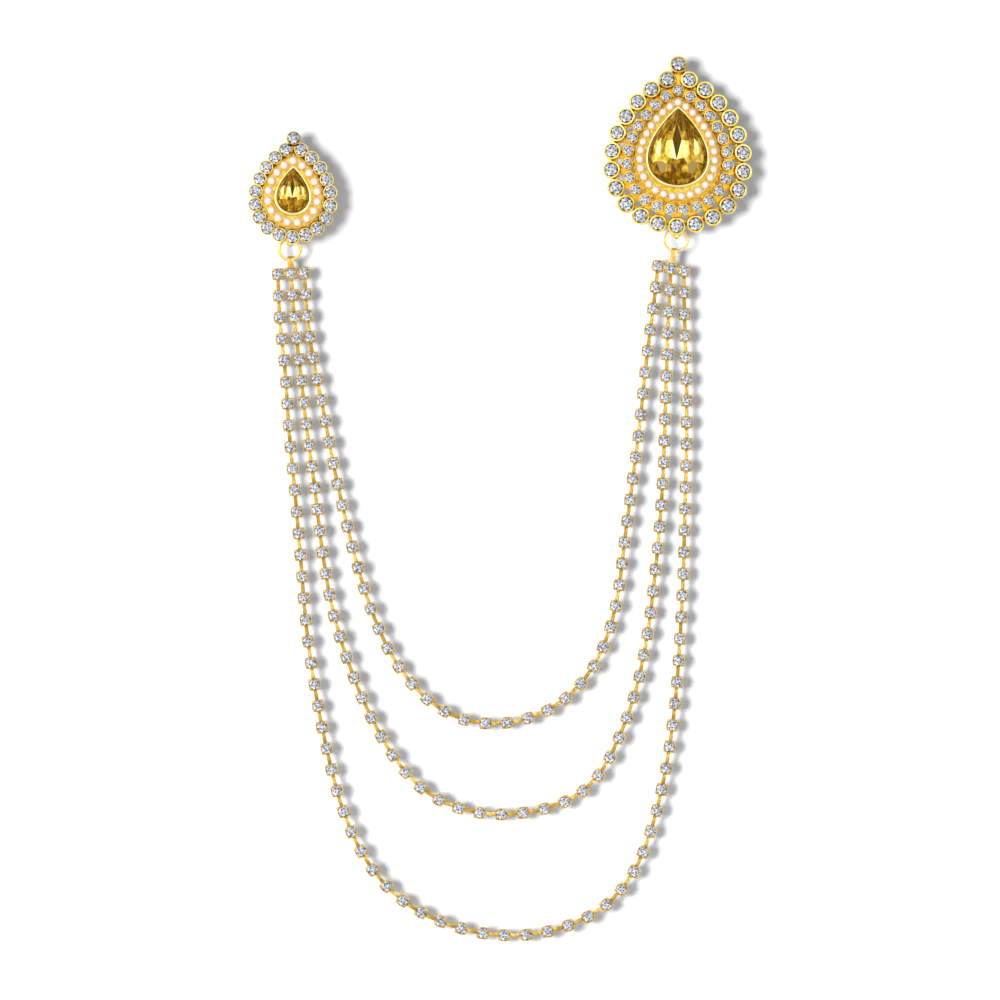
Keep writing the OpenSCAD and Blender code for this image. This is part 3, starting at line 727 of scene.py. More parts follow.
class Groups:
    """The node groups that several finishes share, each built once."""

    _made: dict[str, bpy.types.NodeTree] = {}

    @classmethod
    def metal(cls) -> bpy.types.NodeTree:
        """Colour, roughness and grain of cast or stamped metal.

        A broad noise moves the colour between two golds and the roughness between two values, and a
        fine noise, stretched along the surface where it is brushed, gives the height of the grain.

        Returns:
            The group.
        """
        if "metal" not in cls._made:
            tree = new_group(
                "metal_surface",
                {"Light": colour((1, 0.6, 0.1)), "Deep": colour((1, 0.5, 0.05)), "Patch Scale": 300.0,
                 "Grain Scale": 2000.0, "Stretch": 1.0, "Low": 0.15, "High": 0.3},
                {"Color": "NodeSocketColor", "Roughness": "NodeSocketFloat", "Height": "NodeSocketFloat"})
            ins, outs = tree.nodes["Group Input"].outputs, tree.nodes["Group Output"].inputs
            place = put(tree, "TexCoord").outputs["Object"]
            patch = put(tree, "TexNoise", {"Vector": place, "Scale": ins["Patch Scale"], "Detail": 3.0})
            share = put(tree, "MapRange", {
                "Value": patch.outputs["Fac"], "From Min": 0.38, "From Max": 0.62}).outputs[0]
            tint = put(tree, "Mix", {0: share, 6: ins["Light"], 7: ins["Deep"]}, data_type="RGBA")
            rough = put(tree, "Mix", {0: share, 2: ins["Low"], 3: ins["High"]})
            long = put(tree, "CombineXYZ", {"X": 1.0, "Y": 1.0, "Z": ins["Stretch"]})
            along = put(tree, "VectorMath", {0: place, 1: long.outputs[0]}, operation="MULTIPLY")
            grain = put(tree, "TexNoise", {"Vector": along.outputs[0], "Scale": ins["Grain Scale"],
                                           "Detail": 4.0, "Roughness": 0.6})
            tree.links.new(tint.outputs[2], outs["Color"])
            tree.links.new(rough.outputs[0], outs["Roughness"])
            tree.links.new(grain.outputs["Fac"], outs["Height"])
            cls._made["metal"] = tree
        return cls._made["metal"]

    @classmethod
    def depth(cls) -> bpy.types.NodeTree:
        """Painted light of a foil-backed stone: each facet's tone with a flicker of the facets behind it.

        Painted rays of reflection run down from a tip: a noise over the angle at the tip, drawn out along
        the distance from it.

        Returns:
            The group.
        """
        if "depth" not in cls._made:
            tree = new_group(
                "stone_painted_reflections",
                {"Scale": 900.0, "Flicker": 0.2, "Tip X": 0.0, "Tip Z": 0.0, "Fineness": RAY_FINENESS,
                 "Rays": 0.0},
                {"Tone": "NodeSocketFloat", "Smoke": "NodeSocketFloat"})
            ins, outs = tree.nodes["Group Input"].outputs, tree.nodes["Group Output"].inputs
            own = put(tree, "Attribute", attribute_name="tone").outputs["Fac"]
            place = put(tree, "TexCoord").outputs["Object"]
            cells = put(tree, "TexVoronoi", {"Vector": place, "Scale": ins["Scale"]}, feature="F1")
            even = put(tree, "SeparateColor", {0: cells.outputs["Color"]}).outputs[0]
            swing = put(tree, "Math", {0: even, 1: 0.5}, operation="SUBTRACT").outputs[0]
            part = put(tree, "Math", {0: swing, 1: ins["Flicker"]}, operation="MULTIPLY").outputs[0]
            spot = put(tree, "SeparateXYZ", {0: place}).outputs
            side = put(tree, "Math", {0: spot["X"], 1: ins["Tip X"]}, operation="SUBTRACT").outputs[0]
            down = put(tree, "Math", {0: ins["Tip Z"], 1: spot["Z"]}, operation="SUBTRACT").outputs[0]
            angle = put(tree, "Math", {0: side, 1: down}, operation="ARCTAN2").outputs[0]
            fan = put(tree, "Math", {0: angle, 1: ins["Fineness"]}, operation="MULTIPLY").outputs[0]
            along = put(tree, "Math", {0: down, 1: RAY_LENGTH}, operation="MULTIPLY").outputs[0]
            field = put(tree, "CombineXYZ", {"X": fan, "Y": along, "Z": 0.0}).outputs[0]
            streak = put(tree, "TexNoise", {"Vector": field, "Scale": 1.0, "Detail": 3.0, "Roughness": 0.7})
            lean = put(tree, "Math", {0: streak.outputs["Fac"], 1: 0.5}, operation="SUBTRACT").outputs[0]
            ray = put(tree, "Math", {0: lean, 1: ins["Rays"]}, operation="MULTIPLY").outputs[0]
            both = put(tree, "Math", {0: part, 1: ray}, operation="ADD").outputs[0]
            tone = put(tree, "Math", {0: own, 1: both}, operation="ADD", use_clamp=True).outputs[0]
            smoke = put(tree, "Math", {0: own, 1: SMOKE_FROM}, operation="GREATER_THAN").outputs[0]
            tree.links.new(tone, outs["Tone"])
            tree.links.new(smoke, outs["Smoke"])
            cls._made["depth"] = tree
        return cls._made["depth"]


def new_material(name: str) -> tuple[bpy.types.Material, bpy.types.NodeTree, bpy.types.Node]:
    """Makes a material.

    Args:
        name: Name of the material.

    Returns:
        The material, its node tree and its Principled BSDF.
    """
    material = bpy.data.materials.new(name)
    material.use_nodes = True
    return material, material.node_tree, material.node_tree.nodes["Principled BSDF"]


@dataclass(frozen=True)
class Metal:
    """A gold-plated finish.

    Attributes:
        name: Name of the material.
        light: The paler gold.
        deep: The deeper gold.
        low: Roughness of the smoothest patches.
        high: Roughness of the dullest ones.
        grain: Height of the grain in millimetres.
        grain_size: Size of the grain in millimetres.
        stretch: How many times finer the grain is along z than across it, under 1 for a brushed look.
        patch_size: Size in millimetres of the patches of either gold.
    """

    name: str
    light: tuple[float, float, float]
    deep: tuple[float, float, float]
    low: float
    high: float
    grain: float
    grain_size: float
    stretch: float = 1.0
    patch_size: float = 2.2

    def material(self) -> bpy.types.Material:
        """Builds the material.

        Returns:
            The material.
        """
        material, tree, bsdf = new_material(self.name)
        surface = put(tree, "Group", node_tree=Groups.metal())
        values = {"Light": colour(self.light), "Deep": colour(self.deep), "Low": self.low,
                  "High": self.high, "Patch Scale": 1 / self.patch_size / MM,
                  "Grain Scale": 1 / self.grain_size / MM, "Stretch": self.stretch}
        for label, value in values.items():
            surface.inputs[label].default_value = value
        bump = put(tree, "Bump", {"Height": surface.outputs["Height"], "Distance": self.grain * MM,
                                  "Strength": 1.0})
        bsdf.inputs["Metallic"].default_value = 1.0
        tree.links.new(surface.outputs["Color"], bsdf.inputs["Base Color"])
        tree.links.new(surface.outputs["Roughness"], bsdf.inputs["Roughness"])
        tree.links.new(bump.outputs[0], bsdf.inputs["Normal"])
        return material


@dataclass(frozen=True)
class FoilStone:
    """A cut stone on foil, the reflections in its facets painted into its colour.

    Attributes:
        name: Name of the material.
        ramp: Colour at each tone, from painted dark reflections to painted glints.
        cell: Size in millimetres of the facets seen inside.
        flicker: How much the painted tones of the facets seen inside differ.
        coat: Weight of the clear coat.
        gloss: Specular level.
        tip: Where the rays start, x and z in millimetres.
        rays: How much the tones of the painted rays of reflection differ.
        smoke: The stone's second colour.
        rough: Roughness.
    """

    name: str
    ramp: tuple[tuple[float, tuple[float, float, float]], ...]
    cell: float
    flicker: float
    coat: float = 0.3
    gloss: float = 0.4
    tip: tuple[float, float] = (0.0, 0.0)
    rays: float = 0.0
    smoke: tuple[float, float, float] = (0.4, 0.28, 0.13)
    rough: float = 0.12

    def material(self) -> bpy.types.Material:
        """Builds the material.

        Returns:
            The material.
        """
        material, tree, bsdf = new_material(self.name)
        depth = put(tree, "Group", node_tree=Groups.depth())
        depth.inputs["Scale"].default_value = 1 / self.cell / MM
        depth.inputs["Flicker"].default_value = self.flicker
        depth.inputs["Tip X"].default_value, depth.inputs["Tip Z"].default_value = np.array(self.tip) * MM
        depth.inputs["Rays"].default_value = self.rays
        ramp = put(tree, "ValToRGB", {0: depth.outputs["Tone"]})
        stops = ramp.color_ramp.elements
        stops[0].position, stops[0].color = self.ramp[0][0], colour(self.ramp[0][1])
        stops[1].position, stops[1].color = self.ramp[-1][0], colour(self.ramp[-1][1])
        for where, rgb in self.ramp[1:-1]:
            stops.new(where).color = colour(rgb)
        tint = put(tree, "Mix", {0: depth.outputs["Smoke"], 6: ramp.outputs["Color"],
                                 7: colour(self.smoke)}, data_type="RGBA")
        tree.links.new(tint.outputs[2], bsdf.inputs["Base Color"])
        bsdf.inputs["Roughness"].default_value = self.rough
        bsdf.inputs["IOR"].default_value = 1.56
        bsdf.inputs["Specular IOR Level"].default_value = self.gloss
        bsdf.inputs["Coat Weight"].default_value = self.coat
        bsdf.inputs["Coat Roughness"].default_value = 0.03
        return material


@dataclass(frozen=True)
class Nacre:
    """The pearly coat of the small pearls, their sides in painted shade.

    Attributes:
        name: Name of the material.
        face: Colour where it faces the viewer.
        shaded_flank: Colour at its sides: partly the nacre's deeper pink, partly painted shade and
        warm painted light from the gold.
    """

    name: str
    face: tuple[float, float, float]
    shaded_flank: tuple[float, float, float]

    def material(self) -> bpy.types.Material:
        """Builds the material.

        Returns:
            The material.
        """
        material, tree, bsdf = new_material(self.name)
        place = put(tree, "TexCoord").outputs["Object"]
        cloud = put(tree, "TexNoise", {"Vector": place, "Scale": 500.0, "Detail": 2.0})
        # Towards the sides the colour turns to the flank colour: painted shade and warm painted light.
        side = put(tree, "LayerWeight", {"Blend": 0.35}).outputs["Facing"]
        blotch = put(tree, "Math", {0: cloud.outputs["Fac"], 1: 0.3}, operation="MULTIPLY").outputs[0]
        share = put(tree, "Math", {0: side, 1: blotch}, operation="ADD", use_clamp=True).outputs[0]
        tint = put(tree, "Mix", {0: share, 6: colour(self.face), 7: colour(self.shaded_flank)}, data_type="RGBA")
        tree.links.new(tint.outputs[2], bsdf.inputs["Base Color"])
        bsdf.inputs["Roughness"].default_value = 0.28
        bsdf.inputs["Coat Weight"].default_value = 1.0
        bsdf.inputs["Coat Roughness"].default_value = 0.06
        return material


# Colour of the stones at each tone: the citrine's own yellow, and for both stones painted dark
# reflections up to painted glints.
CRYSTAL = ((0.0, (0.01, 0.01, 0.012)), (0.3, (0.085, 0.086, 0.1)), (0.6, (0.35, 0.36, 0.4)),
           (1.0, (0.82, 0.83, 0.89)))
CITRINE = ((0.0, (0.075, 0.05, 0.002)), (0.1, (0.1, 0.045, 0.001)), (0.24, (0.2, 0.08, 0.001)),
           (0.46, (0.45, 0.25, 0.015)), (0.64, (0.71, 0.49, 0.06)), (0.84, (0.96, 0.8, 0.17)),
           (1.0, (1.0, 0.98, 0.5)))


@dataclass
class Finishes:
    """Every finish of the chain, made once.

    Attributes:
        polished: Gold of the round cups and the jump rings.
        lemon: Paler gold of the bezels.
        cast: Grained gold of the plates and the pearls' channels.
        stamped: Gold of the square cups, the headers and the pins.
        flat: Darker gold of the strips: a duller finish, darkened further as painted shade between the
            cups.
        crystal: The clear stones.
        citrine: The centre stone of each brooch.
        pearl: The pearls.
    """

    polished: bpy.types.Material = field(default_factory=lambda: Metal(
        "gold_polished", light=(0.98, 0.78, 0.29), deep=(0.95, 0.65, 0.07), low=0.1, high=0.22,
        grain=0.02, grain_size=0.5).material())
    lemon: bpy.types.Material = field(default_factory=lambda: Metal(
        "gold_pale", light=(0.97, 0.86, 0.45), deep=(0.94, 0.75, 0.25), low=0.14, high=0.24,
        grain=0.015, grain_size=0.4).material())
    cast: bpy.types.Material = field(default_factory=lambda: Metal(
        "gold_cast", light=(0.98, 0.77, 0.19), deep=(0.95, 0.59, 0.035), low=0.18, high=0.32,
        grain=0.25, grain_size=0.45, patch_size=1.1).material())
    stamped: bpy.types.Material = field(default_factory=lambda: Metal(
        "gold_stamped", light=(0.83, 0.6, 0.2), deep=(0.62, 0.37, 0.05), low=0.18, high=0.32,
        grain=0.03, grain_size=0.3, stretch=0.3).material())
    # Darker than the stamped gold: partly a duller finish, partly painted shade.
    flat: bpy.types.Material = field(default_factory=lambda: Metal(
        "gold_strip_dull_and_shade", light=(0.76, 0.54, 0.15), deep=(0.46, 0.27, 0.035), low=0.16, high=0.3,
        grain=0.02, grain_size=0.3, patch_size=4.0).material())
    crystal: bpy.types.Material = field(default_factory=lambda: FoilStone(
        "crystal_painted_reflections", CRYSTAL, cell=0.5, flicker=0.3, coat=0.0, gloss=0.25, rough=0.2).material())
    citrine: dict[str, bpy.types.Material] = field(default_factory=lambda: {
        name: FoilStone(f"citrine_foil_{name}", CITRINE, cell=cell, flicker=0.16, coat=0.02, gloss=0.06,
                        tip=tip, rays=1.3, smoke=smoke).material()
        for name, cell, tip, smoke in (("large", 1.1, (0.2, 12.5), (0.36, 0.24, 0.075)),
                                       ("small", 0.8, (-107.4, -4.6), (0.42, 0.2, 0.01)))})
    pearl: bpy.types.Material = field(default_factory=lambda: Nacre(
        "pearl_nacre_and_painted_shade", face=(0.94, 0.79, 0.72), shaded_flank=(0.81, 0.54, 0.44)).material())


# Pieces


def make_piece(name: str, shape: Shape, frame: np.ndarray, material: bpy.types.Material, slot: Slot,
               nodes: tuple[str, ...], crease: float | None = 35.0) -> bpy.types.Object:
    """Makes a shape a piece of the scene.

    Args:
        name: Name of the piece.
        shape: The shape, in millimetres.
        frame: The frame that takes it to its place, 1 by 4 by 4.
        material: Its finish.
        slot: Its material slot, which here only decides whether matt rays see the piece.
        nodes: The CAD nodes that it stands for.
        crease: Angle in degrees past which an edge is sharp, or None for flat facets.

    Returns:
        The piece, which rides on the one body.
    """
    whole = shape.placed(frame)
    mesh = bpy.data.meshes.new(name)
    mesh.vertices.add(len(whole.points))
    mesh.vertices.foreach_set("co", (whole.points * MM).ravel())
    mesh.loops.add(len(whole.corners))
    mesh.loops.foreach_set("vertex_index", whole.corners)
    mesh.polygons.add(len(whole.sizes))
    mesh.polygons.foreach_set("loop_start", np.cumsum(whole.sizes) - whole.sizes)
    mesh.update(calc_edges=True)
    # The tone attribute carries the painted light of the stones' facets.
    tone = mesh.attributes.new("tone", "FLOAT", "FACE")
    tone.data.foreach_set("value", whole.tones)
    outward = bmesh.new()
    outward.from_mesh(mesh)
    bmesh.ops.recalc_face_normals(outward, faces=outward.faces)
    outward.to_mesh(mesh)
    outward.free()
    mesh.polygons.foreach_set("use_smooth", np.full(len(whole.sizes), crease is not None))
    if crease is not None:
        mesh.set_sharp_from_angle(angle=math.radians(crease))
    mesh.validate()
    mesh.materials.append(material)
    piece = bpy.data.objects.new(name, mesh)
    bpy.context.scene.collection.objects.link(piece)
    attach(piece, BODY)
    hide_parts(*nodes)
    piece.visible_diffuse = slot is not Slot.GOLD  # keeps the shadows on the wall a neutral grey
    LOG.info("%s: %d faces", name, len(whole.sizes))
    return piece


@dataclass(frozen=True)
class RoundCup:
    """A round cup with a thick rolled lip, and its stone.

    Attributes:
        d: Outer diameter.
        h: Height of the lip above the point that the cup leans about.
        stone_d: Diameter of the stone.
        splay: Outward lean in degrees.
        seat: How far the stone's seat lies below the lip.
        girdle: Height of the stone's side wall.
    """

    d: float
    h: float
    stone_d: float
    splay: float
    seat: float = 0.7
    girdle: float = 0.47

    def frames(self, places: np.ndarray) -> np.ndarray:
        """Frames of the cups that stand at some places, leaning outwards."""
        x, y, outward = places.T
        return moved(x, y, BACK_H + CUP_LIFT) @ turned(outward) @ leaned(self.splay)

    def cups(self, places: np.ndarray, sides: int) -> Shape:
        """Builds the cups. Where two of them meet, both end at the plane halfway between them.

        The profile of a cup climbs a nearly straight wall from the brooch's back to a small step, rolls
        over as a half circle, r = middle + lip cos a and z = top + lip sin a, and drops inside to the
        stone's seat.

        Args:
            places: Where they stand.
            sides: Sides of a cup.

        Returns:
            The cups.
        """
        play, step = 0.04, 0.1  # play round the stone, and width of the step under the lip
        apart = 0.01  # how far before the plane between two cups each of them ends
        r, s = self.d / 2, self.stone_d / 2 + play
        lip, floor = (r - s - step) / 2, self.h - self.seat - 0.05
        a = np.linspace(0, np.pi, 6)
        rolled = [(r - step - lip + lip * math.cos(x), self.h - lip + lip * math.sin(x)) for x in a]
        profile = [(0.5 * r, -CUP_LIFT), (0.93 * r, -CUP_LIFT), (r - 0.05, 0.1 * self.h),
                   (r, 0.45 * self.h), (r - 0.09, 0.58 * self.h)]
        profile += rolled + [(s, floor), (0.3 * s, floor)]
        cup = revolved(profile, sides)
        many = cup.placed(self.frames(places))
        points = many.points.reshape(len(places), -1, 3)
        for i, place in enumerate(places):
            away = places[:, :2] - place[:2]
            far = np.linalg.norm(away, axis=1)
            for j in np.flatnonzero((far > 0) & (far < self.d)):
                n = away[j] / far[j]
                over = (points[i, :, :2] - place[:2]) @ n - far[j] / 2 + apart
                points[i, :, :2] -= np.clip(over, 0, None)[:, None] * n
        return Shape(points.reshape(-1, 3), many.corners, many.sizes, many.tones)

    def stones(self, places: np.ndarray, rng: np.random.Generator) -> Shape:
        """Builds the stones, each turned at random and with its own painted tones.

        Args:
            places: Where the cups stand.
            rng: Source of the turns and tones.

        Returns:
            The stones.
        """
        unlike = 0.14  # how much the facets' tones differ
        stone = brilliant(self.stone_d, self.girdle, CROWN_SHARE * self.stone_d, sides=16)
        count = len(places)
        frames = self.frames(places) @ moved(0, 0, self.h - self.seat + SEAT_PLAY)
        frames = frames @ turned(rng.uniform(0, 2 * np.pi, count))
        return stone.placed(frames, rng.uniform(-unlike, unlike, (count, len(stone.sizes))))


@dataclass(frozen=True)
class Brooch:
    """A pear-shaped cluster brooch with its pin and the jump ring in its lug.

    Attributes:
        name: Start of its nodes' names.
        middle: Where its middle lies, x and height from the large pin.
        ring: The ring of outer cups.
        tip_y: Height of the cup at the tip above the brooch's middle.
        cup: An outer cup.
        inner: The ring of inner cups, or None.
        inner_cup: An inner cup, or None.
        pearls: The ring of pearls.
        pearl_d: Diameter of a pearl.
        gem_w: Width of the centre stone.
        gem_h: Height of the centre stone.
        gem_y: Height of its middle above the brooch's.
        bezel_wall: Wall of the bezel.
        bezel_h: Height of the bezel above the back.
        gaps: Inset and diameter of the pierced gaps of the outer and the inner ring.
        eye: Where the lug's eye lies.
        tongue: Width and length of the tongue.
        link_r: Radius of the jump ring.
        link_wire: Wire of the jump ring.
        bail_l: Length of the bail above its header's middle cup.
        pin_l: Length of the pin's bar.
        lean: Clockwise lean of the hanging brooch, in degrees.
        gem_gap: Gap between the centre stone and its bezel.
        gem_floor: Height of the floor under the centre stone.
    """

    name: str
    middle: tuple[float, float]
    ring: Ring
    tip_y: float
    cup: RoundCup
    inner: Ring | None
    inner_cup: RoundCup | None
    pearls: Ring
    pearl_d: float
    gem_w: float
    gem_h: float
    gem_y: float
    bezel_wall: float
    bezel_h: float
    gaps: tuple[tuple[float, float], ...]
    eye: tuple[float, float]
    tongue: tuple[float, float]
    link_r: float
    link_wire: float
    bail_l: float
    pin_l: float
    lean: float = 0.8
    gem_gap: float = 0.16
    gem_floor: float = 0.9

    def frame(self) -> np.ndarray:
        """The frame that takes the lying brooch to its place in the hanging chain."""
        return UPRIGHT @ moved(*self.middle, 0) @ turned(-math.radians(self.lean))

    def web_edges(self, t: np.ndarray, room: float) -> tuple[np.ndarray, np.ndarray]:
        """Gives the two pears between which the plate lies.

        Args:
            t: Angles in radians, clockwise from the tip.
            room: How much the inner pear is wider than the ring of the pearls' middles.

        Returns:
            The points of the inner pear and of the outer one.
        """
        inner = pear(self.pearls.w + room, self.pearls.h + room, self.pearls.point, t)
        outer = pear(self.ring.w, self.ring.h, self.ring.point, t)
        return inner + [0, self.pearls.y], outer + [0, self.ring.y]

    def cup_places(self) -> np.ndarray:
        """Places of the outer cups, with the one at the tip first."""
        return np.concatenate([[[0, self.tip_y, np.pi / 2]], self.ring.places()])

    def eye_at(self) -> np.ndarray:
        """Where the eye lies on the face plane of the hanging chain."""
        a = -math.radians(self.lean)
        x, y = self.eye
        return np.array([self.middle[0] + x * math.cos(a) - y * math.sin(a),
                         self.middle[1] + x * math.sin(a) + y * math.cos(a)])

    def holes(self) -> np.ndarray:
        """Works out where the plate is pierced, halfway between each cup and the next.

        Returns:
            Middle and radius of each gap, k by 3.
        """
        sets = []
        for ring, (inset, d) in zip((self.ring, self.inner), self.gaps):
            spots = ring.places(shift=0.5, inset=inset)
            sets.append(np.concatenate([spots[:, :2], np.full((len(spots), 1), d / 2)], axis=1))
        return np.concatenate(sets)

    def web(self, around: int, across: int) -> Shape:
        """Builds the pierced plate, as a grid between the ring of cups and the pearls' channel.

        A point lies at share s of the way from the inner pear to the outer one. Points near a gap's edge
        move onto its circle, faces inside it are left out, and the front falls away to the gap as a
        quarter circle of radius e: z = t - e + sqrt(e^2 - (e - distance)^2), with low hillocks, a product
        of two slanting sine waves, elsewhere.

        Args:
            around: Points round the pear.
            across: Points from the inner pear to the outer one.

        Returns:
            The closed plate.
        """
        near, fillet = 0.16, 0.4  # how near a gap's edge a point moves onto it, and the fillet's radius
        hill, fade = 0.08, 0.5  # height of a hillock, and how far from a gap it reaches that
        inner, outer = self.web_edges(np.arange(around) * 2 * np.pi / around, self.pearl_d + PEARL_ROOM)
        s = np.linspace(0, 1, across)[:, None, None]
        flat = (inner + s * (outer - inner)).reshape(-1, 2)
        holes = self.holes()
        away = flat[:, None] - holes[None, :, :2]
        far = np.linalg.norm(away, axis=2)
        deep = far - holes[:, 2]
        which = deep.argmin(axis=1)
        rows = np.arange(len(flat))
        edge = deep[rows, which]
        snap = np.abs(edge) < near
        pull = away[rows, which] / far[rows, which][:, None] * edge[:, None]
        flat = np.where(snap[:, None], flat - pull, flat)
        edge = np.where(snap, 0.0, edge)
        faces = grid_faces(across, around)
        faces = faces[edge[faces].min(axis=1) >= 0]
        fall = fillet - np.clip(edge, 0, fillet)
        x, y = flat.T
        hills = hill * np.sin(2.6 * x + 1.3 * y) * np.sin(2.9 * y - x) * np.clip(edge, 0, fade) / fade
        z = BACK_H + PLATE_T - fillet + np.sqrt(fillet**2 - fall**2) + hills
        n = len(flat)
        points = np.concatenate([np.column_stack([flat, z]), np.column_stack([flat, np.full(n, BACK_H)])])
        ahead = np.stack([faces, np.roll(faces, -1, axis=1)], axis=-1).reshape(-1, 2)
        lone = ~np.isin(ahead[:, 0] * n + ahead[:, 1], ahead[:, 1] * n + ahead[:, 0])
        a, b = ahead[lone].T
        walls = np.stack([b, a, a + n, b + n], axis=-1)
        return Shape.of(points, faces, faces[:, ::-1] + n, walls)

    def grains(self, rng: np.random.Generator, count: int) -> Shape:
        """Scatters small beads of cast gold on the plate, clear of its gaps.

        Args:
            rng: Source of their places and sizes.
            count: The largest number of beads.

        Returns:
            The beads.
        """
        tries = 4 * count  # more than are kept, because those near a gap are dropped
        grain_d, room = 0.7, 0.3  # a bead's largest size, and the least way from its middle to a gap
        rim = 1.0  # how much wider than the pearls the channel and its rim are, with some room
        t = rng.uniform(0, 2 * np.pi, tries)
        s = rng.uniform(0.12, 0.98, (tries, 1))
        inner, outer = self.web_edges(t, self.pearl_d + rim)
        spots = inner + s * (outer - inner)
        holes = self.holes()
        clear = (np.linalg.norm(spots[:, None] - holes[None, :, :2], axis=2) - holes[:, 2]).min(axis=1)
        spots = spots[clear > room][:count]
        size = rng.uniform(0.5, 1.0, len(spots))
        frames = moved(spots[:, 0], spots[:, 1], BACK_H + PLATE_T)
        frames[:, :3, :3] *= size[:, None, None]
        return ball(grain_d, sides=8, steps=6).placed(frames)

    def neck(self) -> Shape:
        """Builds the rib of the plate that carries the cup at the tip, with small cross ridges.

        Returns:
            The rib, whose back lies a little above the plate's, and its ridges.
        """
        low = self.ring.h / 2 - self.cup.d
        length = self.tip_y - low
        thick = PLATE_T + CUP_LIFT
        ridges, ridge_w, ridge_h = 6, 0.35, 0.5
        start, raised = 0.6, 0.05  # way from the rib's end to the first ridge, and the rib's lift
        rib = bar(length, self.cup.d / 2, thick, corner=0.3)
        ridge = bar(self.cup.d / 2.6, ridge_w, ridge_h, corner=0.12)
        heights = np.linspace(low + start, self.ring.h / 2 + start, ridges)
        middle = moved(0, low + length / 2, BACK_H + raised + thick / 2)
        return Shape.joined(rib.placed(middle @ turned(np.pi / 2)),
                            ridge.placed(moved(0, heights, BACK_H + thick)))

    def channel(self) -> Shape:
        """Builds the floor under the pearls with its rim, whose top rolls over as half an ellipse.

        Returns:
            A hollow pear ring.
        """
        room = self.pearl_d + PEARL_ROOM
        rim, rise, roll = 0.35, 0.42, 0.18  # the rim's wall, height and rolled top
        slope_w, slope_h = 0.25, 0.1  # of the rim's inner foot, the width for both sides together
        tuck = 0.4  # how much narrower the hole in the floor is than the bezel
        grow = 2 * (self.gem_gap + self.bezel_wall) - tuck
        floor, under = BACK_H + PEARL_FLOOR, BACK_H + 0.3

        def level(wider: float, z: float) -> tuple[float, float, float, float, float]:
            """A level outline that is wider than the pearls' room by a margin."""
            return (self.pearls.w + room + wider, self.pearls.h + room + wider, self.pearls.point,
                    self.pearls.y, z)

        levels = [level(2 * rim, under)]
        levels += [level(rim + rim * math.cos(a), floor + rise + roll * math.sin(a))
                   for a in np.linspace(0, np.pi, 6)]
        levels += [level(0, floor + slope_h), level(-slope_w, floor)]
        levels += [(self.gem_w + grow, self.gem_h + grow, GEM_POINT, self.gem_y, z) for z in (floor, under)]
        return lofted(levels, PEAR_STEPS, closed=True)

    def bezel(self) -> Shape:
        """Builds the plain band round the centre stone, its lip rolled over the stone's edge.

        Returns:
            The band with the floor under the stone.
        """
        def level(grow: float, z: float) -> tuple[float, float, float, float, float]:
            """A level outline that is larger than the stone's by a margin all round."""
            return self.gem_w + 2 * grow, self.gem_h + 2 * grow, GEM_POINT, self.gem_y, BACK_H + z

        out, top, roll = self.gem_gap + self.bezel_wall, self.bezel_h, self.bezel_wall / 2
        levels = [level(out, 0.2), level(out, 0.55 * top), level(out - 0.02, 0.8 * top)]
        levels += [level(out - roll + roll * math.cos(a), top - roll + roll * math.sin(a))
                   for a in np.linspace(0, np.pi, 8)]
        levels += [level(self.gem_gap / 2, top - 2 * roll), level(self.gem_gap, self.gem_floor),
                   level(-0.3 * self.gem_w, self.gem_floor)]
        return lofted(levels, PEAR_STEPS, closed=False)

    def gem(self, rng: np.random.Generator) -> Shape:
        """Builds the centre stone, which clears its floor by the same gap as its bezel.

        Args:
            rng: Source of the small differences between its facets.

        Returns:
            The stone.
        """
        depth = self.bezel_h - self.gem_floor + CROWN_SHARE * self.gem_w / 2
        stone = PearStone(self.gem_w, self.gem_h, low=0.55 * depth, high=depth).shape(rng)
        return stone.placed(moved(0, self.gem_y, BACK_H + self.gem_floor + self.gem_gap))

    def pearl_strip(self) -> tuple[Shape, Shape]:
        """Builds the pearls, and the wire that joins each to the next.

        Returns:
            The pearls and the wire.
        """
        wire, drop = 0.4, 0.15  # the wire's thickness, and how far it lies below the pearls' middles
        places = self.pearls.places()
        z = BACK_H + PEARL_FLOOR + SEAT_PLAY + self.pearl_d / 2
        step = np.roll(places[:, :2], -1, axis=0) - places[:, :2]
        angle = np.arctan2(step[:, 1], step[:, 0])
        middle = places[:, :2] + step / 2
        neck = bar(float(np.linalg.norm(step, axis=1).mean()), wire, wire, corner=0.18)
        return (ball(self.pearl_d, sides=24, steps=16).placed(moved(places[:, 0], places[:, 1], z)),
                neck.placed(moved(middle[:, 0], middle[:, 1], z - drop) @ turned(angle)))

